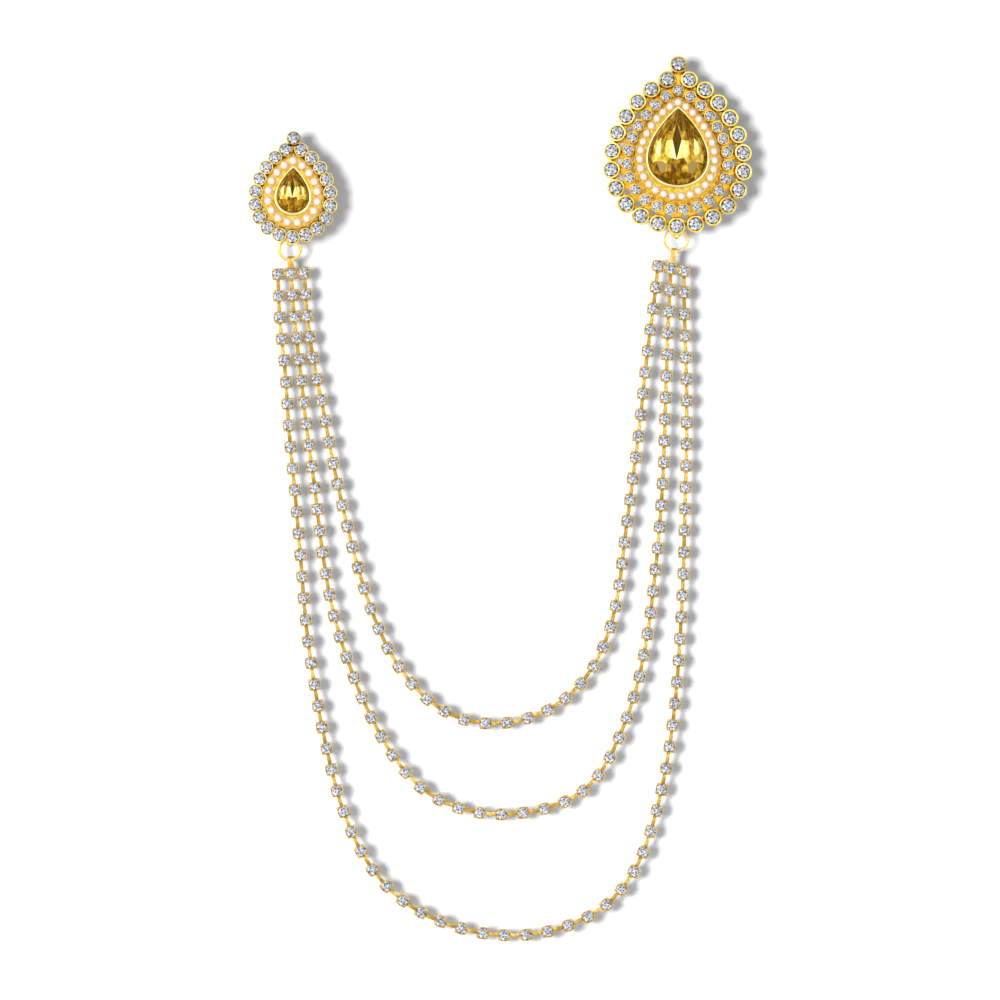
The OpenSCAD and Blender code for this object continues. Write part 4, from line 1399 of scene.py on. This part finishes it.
    def lug(self) -> tuple[Shape, Shape]:
        """Builds the eye behind the lowest cup, and the tongue in front of it.

        The tongue's outline is a drop: its half width goes as sin t times sin(t / 2) raised to 0.35.
        Its sides close in as a dome, level by level, towards a point in its upper half.

        Returns:
            The eye with its stem, and the tongue.
        """
        wide, wall, sides = 1.4, 0.4, 24  # of the eye
        r_in = self.link_wire / 2 + RING_PLAY
        a = np.arange(sides) * 2 * np.pi / sides
        path = np.stack([np.zeros(sides), np.cos(a), np.sin(a)], axis=-1)
        eye = swept(path * (r_in + wall / 2), np.tile([1.0, 0, 0], (sides, 1)), path,
                    rounded_box(wide, wall, corner=0.12), closed=True)
        stem = bar(BACK_H + 2 * CUP_LIFT - HANG_H - r_in, wide, 2 * r_in, corner=0.15)
        x, y = self.eye
        high = (HANG_H + r_in + BACK_H + 2 * CUP_LIFT) / 2
        eye_part = Shape.joined(eye.placed(moved(x, y, HANG_H)),
                                stem.placed(moved(x, y, high) @ leaned(-90) @ UPRIGHT))
        tongue_w, tongue_l = self.tongue
        over = 0.2  # how far the tongue reaches above the eye's middle
        t = np.arange(32) * 2 * np.pi / 32
        half = np.sin(t) * np.abs(np.sin(t / 2)) ** 0.35
        half *= tongue_w / 2 / np.abs(half).max()
        drop = np.stack([half, -(np.cos(t) * (tongue_l + over) + tongue_l - over) / 2], axis=-1)
        middle = np.array([0, -0.35 * tongue_l])
        dome = ((0.94, 0.0), (1.0, 0.25), (0.98, 0.75), (0.86, 1.1), (0.6, 1.27), (0.25, 1.3))
        rows = np.stack([np.column_stack([middle + (drop - middle) * share, np.full(len(t), z)])
                         for share, z in dome])
        return eye_part, capped(rows).placed(moved(x, y, BACK_H + CUP_LIFT / 2))

    def pin(self) -> Shape:
        """Builds the bar pin: a bar on the back, a post at each end and the stem between them.

        Returns:
            The pin.
        """
        post, wide, thick, stem = 1.4, 3.4, 0.7, 0.8
        z = BACK_H - SEAT_PLAY - thick / 2
        side = np.array([-1.0, 1.0]) * (self.pin_l - post) / 2
        tall = BACK_H - SEAT_PLAY + stem
        return Shape.joined(
            bar(self.pin_l, wide, thick, corner=0.2).placed(moved(0, 0, z)),
            bar(tall, wide / 2, post, corner=0.3).placed(moved(side, 0, tall / 2 - stem) @ leaned(-90)),
            bar(self.pin_l - post, stem, stem, corner=0.38))

    def jump_ring(self) -> Shape:
        """Builds the ring of round wire, sawn through at one side.

        Returns:
            The ring.
        """
        slit_at, slit_w = math.radians(25), 0.15
        steps, sides = 72, 12  # along the ring and round its wire
        a = slit_at + np.linspace(0, 2 * np.pi - slit_w / self.link_r, steps)
        path = np.stack([np.cos(a), np.sin(a), np.zeros_like(a)], axis=-1)
        t = np.arange(sides) * 2 * np.pi / sides
        wire = self.link_wire / 2 * np.stack([np.cos(t), np.sin(t)], axis=-1)
        ring = swept(path * self.link_r, path, np.tile([0, 0, 1.0], (len(a), 1)), wire, closed=False)
        x, y = self.eye_at()
        return ring.placed(moved(x, y - self.link_r, HANG_H))

    def build(self, looks: Finishes, rng: np.random.Generator) -> None:
        """Makes every piece of the brooch.

        Args:
            looks: The finishes.
            rng: Source of the small differences between stones and grains.
        """
        frame, n = self.frame(), self.name
        body = (f"{n}_frame",)
        places = self.cup_places()
        eye, tongue = self.lug()
        cups = [self.cup.cups(places, CUP_SIDES), tongue]
        outer_nodes = (f"{n}_outer_stones",) if self.inner else (f"{n}_stones",)
        if self.inner and self.inner_cup:
            inner = self.inner.places()
            cups.append(self.inner_cup.cups(inner, INNER_SIDES))
            make_piece(f"{n}_inner_gems", self.inner_cup.stones(inner, rng), frame, looks.crystal,
                       Slot.CRYSTAL, (f"{n}_inner_stones",), None)
        make_piece(f"{n}_cups", Shape.joined(*cups), frame, looks.polished, Slot.GOLD, body)
        make_piece(f"{n}_outer_gems", self.cup.stones(places, rng), frame, looks.crystal, Slot.CRYSTAL,
                   outer_nodes, None)
        web = Shape.joined(self.web(*WEB_GRID), self.neck(), self.grains(rng, GRAINS), eye)
        make_piece(f"{n}_web", web, frame, looks.cast, Slot.GOLD, body)
        make_piece(f"{n}_channel", self.channel(), frame, looks.cast, Slot.GOLD, body)
        make_piece(f"{n}_bezel", self.bezel(), frame, looks.lemon, Slot.GOLD, body)
        make_piece(f"{n}_pear_stone", self.gem(rng), frame, looks.citrine[n], Slot.CITRINE,
                   (f"{n}_centre_stone",), None)
        pearls, wire = self.pearl_strip()
        make_piece(f"{n}_pearl_balls", pearls, frame, looks.pearl, Slot.PEARL, (f"{n}_pearls",))
        make_piece(f"{n}_pearl_wire", wire, frame, looks.cast, Slot.GOLD, (f"{n}_pearls",))
        make_piece(f"{n}_bar_pin", self.pin(), UPRIGHT @ moved(*self.middle, 0), looks.stamped, Slot.GOLD,
                   (f"{n}_pin",))
        make_piece(f"{n}_wire_ring", self.jump_ring(), UPRIGHT, looks.polished, Slot.GOLD,
                   (f"{n}_jump_ring",))


@dataclass(frozen=True)
class SquareCup:
    """A stamped square cup with four corner prongs and a round stone, as in cup chain.

    Attributes:
        w: Side of the cup.
        depth: Depth to the tips of its prongs.
        stone_d: Diameter of the stone.
        square: How square the cup is: 2 for round, more for squarer.
        seat: Height of the stone's seat.
    """

    w: float = 3.48
    depth: float = 2.4
    stone_d: float = 3.05
    square: float = 4.2
    seat: float = 1.55

    def cup(self) -> Shape:
        """Builds the cup and its claws.

        The outline is a superellipse, |x|^n + |y|^n = a^n. A claw is a short post on the diagonal that
        leans in over the stone's edge.

        Returns:
            The cup, with its back at z = 0.
        """
        a = np.arange(16) * np.pi / 8
        n, seat, stone = self.square, self.seat, self.stone_d / 2
        out = self.w / 2 * (np.abs(np.cos(a)) ** n + np.abs(np.sin(a)) ** n) ** (-1 / n)

        def row(radius: np.ndarray | float, z: float) -> np.ndarray:
            """A closed row of points at a height."""
            return np.stack(np.broadcast_arrays(radius * np.cos(a), radius * np.sin(a), z), axis=-1)

        box = capped(np.stack([
            row(0.86 * out, 0.0), row(0.95 * out, 0.3), row(out, seat - 0.15), row(out - 0.1, seat + 0.08),
            row(stone + 0.03, seat + 0.08), row(stone - 0.05, seat - 0.1)]))
        section = rounded_box(0.5, 0.7, corner=0.25, steps=2)
        # Distance from the cup's middle, size and height of each level of a claw.
        levels = ((1.9, 1.04, seat - 0.3), (1.86, 1.08, self.depth - 0.4), (1.66, 1.04, self.depth - 0.12),
                  (1.5, 0.64, self.depth))
        claw = capped(np.stack([np.column_stack([section * size + [far, 0], np.full(len(section), z)])
                                for far, size, z in levels]))
        return Shape.joined(box, claw.placed(turned(np.pi / 4 + np.arange(4) * np.pi / 2)))

    def stone(self) -> Shape:
        """The stone in its cup, with a crown that is a little higher than the round cups' stones have."""
        crown = CROWN_SHARE * self.stone_d + 0.12
        return brilliant(self.stone_d, girdle=0.3, crown=crown, sides=8).placed(moved(0, 0, self.seat))


@dataclass(frozen=True)
class CupChain:
    """The three swags and the two headers, at the places of the CAD model's own stones.

    Attributes:
        nodes: The CAD nodes by name.
        cup: A cup with its stone.
        strip_w: Width of a strip between two cups.
        strip_t: Its thickness.
        strip_z: Its height above the cups' backs.
        bail_w: Width of a bail's strap.
        bail_t: Its thickness.
    """

    nodes: dict[str, bpy.types.Object]
    cup: SquareCup = SquareCup()
    strip_w: float = 1.08
    strip_t: float = 0.6
    strip_z: float = 0.85
    bail_w: float = 1.75
    bail_t: float = 0.35

    def tables(self, node: str) -> np.ndarray:
        """Finds the middles of a node's stones: the clusters of its foremost points.

        Args:
            node: Name of the CAD node.

        Returns:
            x and height of each stone's middle, in millimetres.
        """
        mesh = self.nodes[node].data
        points = np.empty(3 * len(mesh.vertices))
        mesh.vertices.foreach_get("co", points)
        points = points.reshape(-1, 3) / MM
        depth, rounds = 0.05, 3  # how far behind the foremost point a table may lie
        foremost = points[:, 1] < points[:, 1].min() + depth
        front = np.unique(points[foremost][:, [0, 2]].round(2), axis=0)
        reach = np.linalg.norm(front[:, None] - front[None], axis=2) < TABLE_SHARE * self.cup.stone_d / 2
        for _ in range(rounds):  # each round adds the neighbours' neighbours
            reach = reach.astype(int) @ reach.astype(int) > 0
        return np.unique(np.array([front[row].mean(axis=0) for row in reach]).round(4), axis=0)

    def header_cups(self, node: str) -> np.ndarray:
        """The three cups of a header from left to right."""
        cups = self.tables(node)
        return cups[np.argsort(cups[:, 0])]

    def strand(self, node: str, start: np.ndarray, end: np.ndarray) -> np.ndarray:
        """Orders a strand's cups, from one header's cup to the other's, always taking the nearest next.

        Args:
            node: Name of the strand's node.
            start: The header cup that it starts from.
            end: The header cup that it ends at.

        Returns:
            The cups with the two header cups, n by 2.
        """
        left = list(self.tables(node))
        line = [start]
        while left:
            far = [float(np.linalg.norm(p - line[-1])) for p in left]
            line.append(left.pop(int(np.argmin(far))))
        return np.array(line + [end])

    def strips(self, line: np.ndarray) -> Shape:
        """Builds the flat strips that tie each cup of a line to the next.

        Args:
            line: The cups, n by 2.

        Returns:
            The strips, whose ends lie in the cups' walls.
        """
        ahead = line[1:] - line[:-1]
        lengths = np.linalg.norm(ahead, axis=1)
        starts = self.frames(line[:-1], np.arctan2(ahead[:, 1], ahead[:, 0]))
        bite = 0.35  # how far a strip's end lies inside a cup
        reach = self.cup.w / 2 - bite
        return Shape.joined(*(
            bar(far - 2 * reach, self.strip_w, self.strip_t, corner=0.05).placed(
                start[None] @ moved(far / 2, 0, self.strip_z)) for start, far in zip(starts, lengths)))

    def frames(self, places: np.ndarray, angles: np.ndarray) -> np.ndarray:
        """Frames of cups at some places, on their backs, each turned by its angle."""
        return moved(places[:, 0], places[:, 1], HANG_H - self.cup.depth / 2) @ turned(angles)

    def stones(self, frames: np.ndarray, rng: np.random.Generator) -> Shape:
        """Builds the stones of some cups, each turned at random and with its own painted tones.

        Args:
            frames: The cups' frames, k by 4 by 4.
            rng: Source of the turns and tones.

        Returns:
            The stones.
        """
        twist, unlike = 0.2, 0.16  # how much the turns, in radians, and the facets' tones differ
        stone, count = self.cup.stone(), len(frames)
        turn = turned(rng.integers(0, 8, count) * np.pi / 4 + rng.uniform(-twist, twist, count))
        return stone.placed(frames @ turn, rng.uniform(-unlike, unlike, (count, len(stone.sizes))))

    def header(self, cups: np.ndarray, brooch: Brooch) -> Shape:
        """Builds the bar behind a header's cups and the bail, a strap that loops over the jump ring.

        Args:
            cups: The three cups.
            brooch: The brooch that the header hangs from.

        Returns:
            The bar and the bail.
        """
        bite = 0.1  # how far the bail's ends lie inside the middle cup
        beam_w, beam_t, raised = 1.2, 0.6, 0.1  # of the bar, which lies a little before the ring's plane
        ahead = cups[2] - cups[0]
        wall, half = self.bail_t, self.cup.w / 2
        r = brooch.link_wire / 2 + RING_PLAY + wall / 2
        top = half + brooch.bail_l - r - wall / 2
        low = half - bite
        a = np.linspace(0, np.pi, 13)
        y = np.concatenate([[low, (low + top) / 2], top + r * np.sin(a), [(low + top) / 2, low]])
        z = np.concatenate([[r, r], r * np.cos(a), [-r, -r]])
        path = np.stack([np.zeros_like(y), y, z], axis=-1)
        ends = np.roll(path, -1, axis=0) - np.roll(path, 1, axis=0)
        normal = np.stack([np.zeros_like(y), ends[:, 2], -ends[:, 1]], axis=-1)
        normal /= np.linalg.norm(normal, axis=1)[:, None]
        bail = swept(path, np.tile([1.0, 0, 0], (len(y), 1)), normal,
                     rounded_box(self.bail_w, wall, corner=0.1), closed=True)
        beam = bar(float(np.linalg.norm(ahead)), beam_w, beam_t, corner=0.15)
        place = moved(*cups[1], HANG_H) @ turned(math.atan2(ahead[1], ahead[0]))
        return Shape.joined(bail.placed(place), beam.placed(place @ moved(0, 0, raised)))

    def build(self, looks: Finishes, rng: np.random.Generator, brooches: dict[str, Brooch]) -> None:
        """Makes every piece of the headers and strands.

        Args:
            looks: The finishes.
            rng: Source of the small differences between stones.
            brooches: The brooches, whose rings the bails loop over.
        """
        heads = {name: self.header_cups(f"{name}_header") for name in brooches}
        for name, cups in heads.items():
            ahead, nodes = cups[2] - cups[0], (f"{name}_header",)
            frames = self.frames(cups, np.full(3, math.atan2(ahead[1], ahead[0])))
            metal = Shape.joined(self.cup.cup().placed(frames), self.header(cups, brooches[name]))
            make_piece(f"{name}_header_metal", metal, UPRIGHT, looks.stamped, Slot.GOLD, nodes)
            make_piece(f"{name}_header_stones", self.stones(frames, rng), UPRIGHT, looks.crystal,
                       Slot.CRYSTAL, nodes, None)
        for i, name in enumerate(("chain_outer", "chain_middle", "chain_inner")):
            line = self.strand(name, heads["small"][i], heads["large"][2 - i])
            across = line[2:] - line[:-2]
            frames = self.frames(line[1:-1], np.arctan2(across[:, 1], across[:, 0]))
            steps = np.linalg.norm(np.diff(line, axis=0), axis=1)
            LOG.info("%s: %d cups, spaced %.2f to %.2f mm", name, len(frames), steps.min(), steps.max())
            cups, nodes = self.cup.cup().placed(frames), (name,)
            make_piece(f"{name}_cups", cups, UPRIGHT, looks.stamped, Slot.GOLD, nodes)
            make_piece(f"{name}_strips", self.strips(line), UPRIGHT, looks.flat, Slot.GOLD, nodes)
            make_piece(f"{name}_stones", self.stones(frames, rng), UPRIGHT, looks.crystal, Slot.CRYSTAL,
                       nodes, None)


# The studio


@dataclass(frozen=True)
class Softbox:
    """A bright patch of the surroundings.

    Attributes:
        axis: Direction of its middle.
        edge: Cosine of the angle from the axis at which it begins.
        full: Cosine of the angle inside which it is fully bright.
        strength: How bright it is.
    """

    axis: tuple[float, float, float]
    edge: float
    full: float
    strength: float


SOFTBOXES = (
    Softbox((-0.75, -0.6, 0.5), 0.80, 0.90, 1.7), Softbox((0.55, -0.8, 0.35), 0.86, 0.93, 1.5),
    Softbox((0.1, -0.95, -0.5), 0.90, 0.96, 1.4), Softbox((-0.2, -0.97, 0.1), 0.91, 0.98, 1.1),
    Softbox((-0.7, -0.6, -0.5), 0.86, 0.95, 1.2), Softbox((0.0, 0.1, 1.0), 0.6, 0.9, 1.2),
)


@dataclass(frozen=True)
class Studio:
    """White wall with a cove and floor, a soft sun, the surroundings that the gold mirrors, a camera.

    Attributes:
        wall_y: How far the wall lies behind the pin stems.
        wall_top: Height of the wall's upper edge.
        floor_z: Height of the floor.
        floor_y: Where the floor's front edge lies.
        half_w: Half the width of wall and floor.
        cove_r: Radius of the cove between them.
        sun: Direction in which the sunlight travels.
        sun_power: Strength of the sun.
        sun_angle: How wide the sun looks, in degrees.
        ambient: Strength of the surroundings between the softboxes.
        matt_light: Strength of the surroundings for matt surfaces.
        target: What the camera looks at.
        distance: How far the camera is.
        azimuth: Camera's angle round the chain, in degrees.
        elevation: Camera's angle above it, in degrees.
        roll: Its turn about its own line of sight, in degrees.
        view_w: Width of the view at the target.
    """

    wall_y: float = 1.4
    wall_top: float = 1200.0
    floor_z: float = -400.0
    floor_y: float = -900.0
    half_w: float = 2500.0
    cove_r: float = 120.0
    sun: tuple[float, float, float] = (0.5, 1.0, 0.07)
    sun_power: float = 3.0
    sun_angle: float = 18.0
    ambient: float = 0.24
    matt_light: float = 0.22
    target: tuple[float, float, float] = (-49.8, -5.5, -98.0)
    distance: float = 5000.0
    azimuth: float = -2.0
    elevation: float = -4.5
    roll: float = -0.08
    view_w: float = 279.5

    def backdrop(self) -> None:
        """Builds the wall, cove and floor as one surface that is clear when seen from behind."""
        r = self.cove_r
        a = np.linspace(0, np.pi / 2, 24)
        y = np.concatenate([[self.wall_y], self.wall_y - r + r * np.cos(a), [self.floor_y]])
        z = np.concatenate([[self.wall_top], self.floor_z + r - r * np.sin(a), [self.floor_z]])
        x = np.array([-self.half_w, self.half_w])
        rows = np.stack(np.broadcast_arrays(x[None], y[:, None], z[:, None]), axis=-1) * MM
        faces = grid_faces(len(y), 2, round_cols=False)[:, ::-1]
        mesh = bpy.data.meshes.new("backdrop")
        mesh.from_pydata(rows.reshape(-1, 3).tolist(), [], faces.tolist())
        mesh.polygons.foreach_set("use_smooth", np.full(len(faces), True))
        material, tree, bsdf = new_material("backdrop_paper")
        place = put(tree, "TexCoord").outputs["Object"]
        fibre = put(tree, "TexNoise", {"Vector": place, "Scale": 700.0, "Detail": 3.0})
        bump = put(tree, "Bump", {"Height": fibre.outputs["Fac"], "Distance": 0.01 * MM, "Strength": 0.3})
        bsdf.inputs["Base Color"].default_value = colour((0.97, 0.97, 0.97))
        bsdf.inputs["Roughness"].default_value = 0.9
        bsdf.inputs["Specular IOR Level"].default_value = 0.1
        tree.links.new(bump.outputs[0], bsdf.inputs["Normal"])
        back = put(tree, "NewGeometry").outputs["Backfacing"]
        clear = put(tree, "BsdfTransparent")
        either = put(tree, "MixShader", {0: back, 1: bsdf.outputs[0], 2: clear.outputs[0]})
        tree.links.new(either.outputs[0], tree.nodes["Material Output"].inputs["Surface"])
        mesh.materials.append(material)
        backdrop = bpy.data.objects.new("backdrop", mesh)
        bpy.context.scene.collection.objects.link(backdrop)

    def surroundings(self) -> None:
        """Builds the world: an even light for matt surfaces, and softboxes for what mirrors them.

        A softbox is bright where the direction's dot product with its axis lies above a limit.
        """
        world = bpy.data.worlds.new("studio")
        bpy.context.scene.world = world
        world.use_nodes = True
        tree = world.node_tree
        tree.nodes.clear()
        way = put(tree, "TexCoord").outputs["Generated"]
        total = self.ambient
        for box in SOFTBOXES:
            unit = tuple(np.array(box.axis) / np.linalg.norm(box.axis))
            dot = put(tree, "VectorMath", {0: way, 1: unit}, operation="DOT_PRODUCT").outputs["Value"]
            glow = put(tree, "MapRange", {"Value": dot, "From Min": box.edge, "From Max": box.full,
                                          "To Max": box.strength}, interpolation_type="SMOOTHSTEP")
            total = put(tree, "Math", {0: glow.outputs[0], 1: total}, operation="ADD").outputs[0]
        matt = put(tree, "LightPath").outputs["Is Diffuse Ray"]
        strength = put(tree, "Mix", {0: matt, 2: total, 3: self.matt_light}).outputs[0]
        light = put(tree, "Background", {"Color": colour((1.0, 1.0, 1.0)), "Strength": strength})
        out = put(tree, "OutputWorld")
        tree.links.new(light.outputs[0], out.inputs["Surface"])

    def sunlight(self) -> None:
        """Adds the soft sun that throws the chain's shadow onto the wall."""
        lamp = bpy.data.lights.new("sun", "SUN")
        lamp.energy = self.sun_power
        lamp.angle = math.radians(self.sun_angle)
        piece = bpy.data.objects.new("sun", lamp)
        piece.visible_glossy = False  # the softboxes make the highlights
        way = np.array(self.sun) / np.linalg.norm(self.sun)
        piece.rotation_mode = "QUATERNION"
        piece.rotation_quaternion = Vector(way).to_track_quat("-Z", "Y")
        bpy.context.scene.collection.objects.link(piece)

    def camera(self) -> None:
        """Adds the camera, which looks at the target from a little to the left and below."""
        a, e = math.radians(self.azimuth), math.radians(self.elevation)
        back = np.array([math.sin(a) * math.cos(e), -math.cos(a) * math.cos(e), math.sin(e)])
        lens = bpy.data.cameras.new("camera")
        lens.sensor_width = 36.0
        lens.lens = lens.sensor_width * self.distance / self.view_w
        lens.clip_end = 20.0
        piece = bpy.data.objects.new("camera", lens)
        piece.location = (np.array(self.target) + back * self.distance) * MM
        turn = Vector(-back).to_track_quat("-Z", "Y").to_euler()
        turn.rotate_axis("Z", math.radians(self.roll))
        piece.rotation_euler = turn
        bpy.context.scene.collection.objects.link(piece)
        bpy.context.scene.camera = piece

    def build(self) -> None:
        """Sets up the whole studio."""
        self.backdrop()
        self.surroundings()
        self.sunlight()
        self.camera()
        bpy.context.scene.view_settings.view_transform = "Standard"
        bpy.context.scene.view_settings.look = "None"


LARGE = Brooch(
    name="large",
    middle=(0.0, 0.0),
    ring=Ring(w=36.3, h=41.2, point=0.4, y=-0.2, count=23, gap=6.0),
    tip_y=23.7,
    cup=RoundCup(d=5.2, h=2.4, stone_d=3.55, splay=14.0),
    inner=Ring(w=27.6, h=33.0, point=0.55, y=0.1, count=25),
    inner_cup=RoundCup(d=3.5, h=2.8, stone_d=2.6, splay=8.0),
    pearls=Ring(w=21.0, h=26.4, point=0.55, y=0.3, count=29),
    pearl_d=2.2,
    gem_w=16.1,
    gem_h=21.0,
    gem_y=0.9,
    bezel_wall=0.8,
    bezel_h=4.2,
    gaps=((2.3, 1.7), (1.3, 0.7)),
    eye=(0.0, -21.6),
    tongue=(3.2, 3.2),
    link_r=3.26,
    link_wire=0.64,
    bail_l=4.1,
    pin_l=22.0,
)
SMALL = Brooch(
    name="small",
    middle=(-107.7, -11.9),
    ring=Ring(w=20.3, h=24.4, point=0.4, y=0.0, count=19, gap=4.2),
    tip_y=14.7,
    cup=RoundCup(d=4.2, h=2.4, stone_d=3.25, splay=12.0),
    inner=None,
    inner_cup=None,
    pearls=Ring(w=13.9, h=17.4, point=0.4, y=0.1, count=17),
    pearl_d=2.35,
    gem_w=8.5,
    gem_h=12.0,
    gem_y=0.4,
    bezel_wall=0.95,
    bezel_h=3.4,
    gaps=((1.9, 1.2),),
    eye=(-0.6, -12.9),
    tongue=(2.6, 2.4),
    link_r=2.93,
    link_wire=0.9,
    bail_l=3.2,
    pin_l=14.5,
)


def main() -> None:
    """Loads the frame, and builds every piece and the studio."""
    logging.basicConfig(level=logging.INFO, format="%(name)s: %(message)s")
    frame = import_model()
    rng = np.random.default_rng(SEED)
    looks = Finishes()
    brooches = {brooch.name: brooch for brooch in (LARGE, SMALL)}
    for brooch in brooches.values():
        brooch.build(looks, rng)
    CupChain(frame["nodes"]).build(looks, rng, brooches)
    Studio().build()


if __name__ == "__main__":
    main()
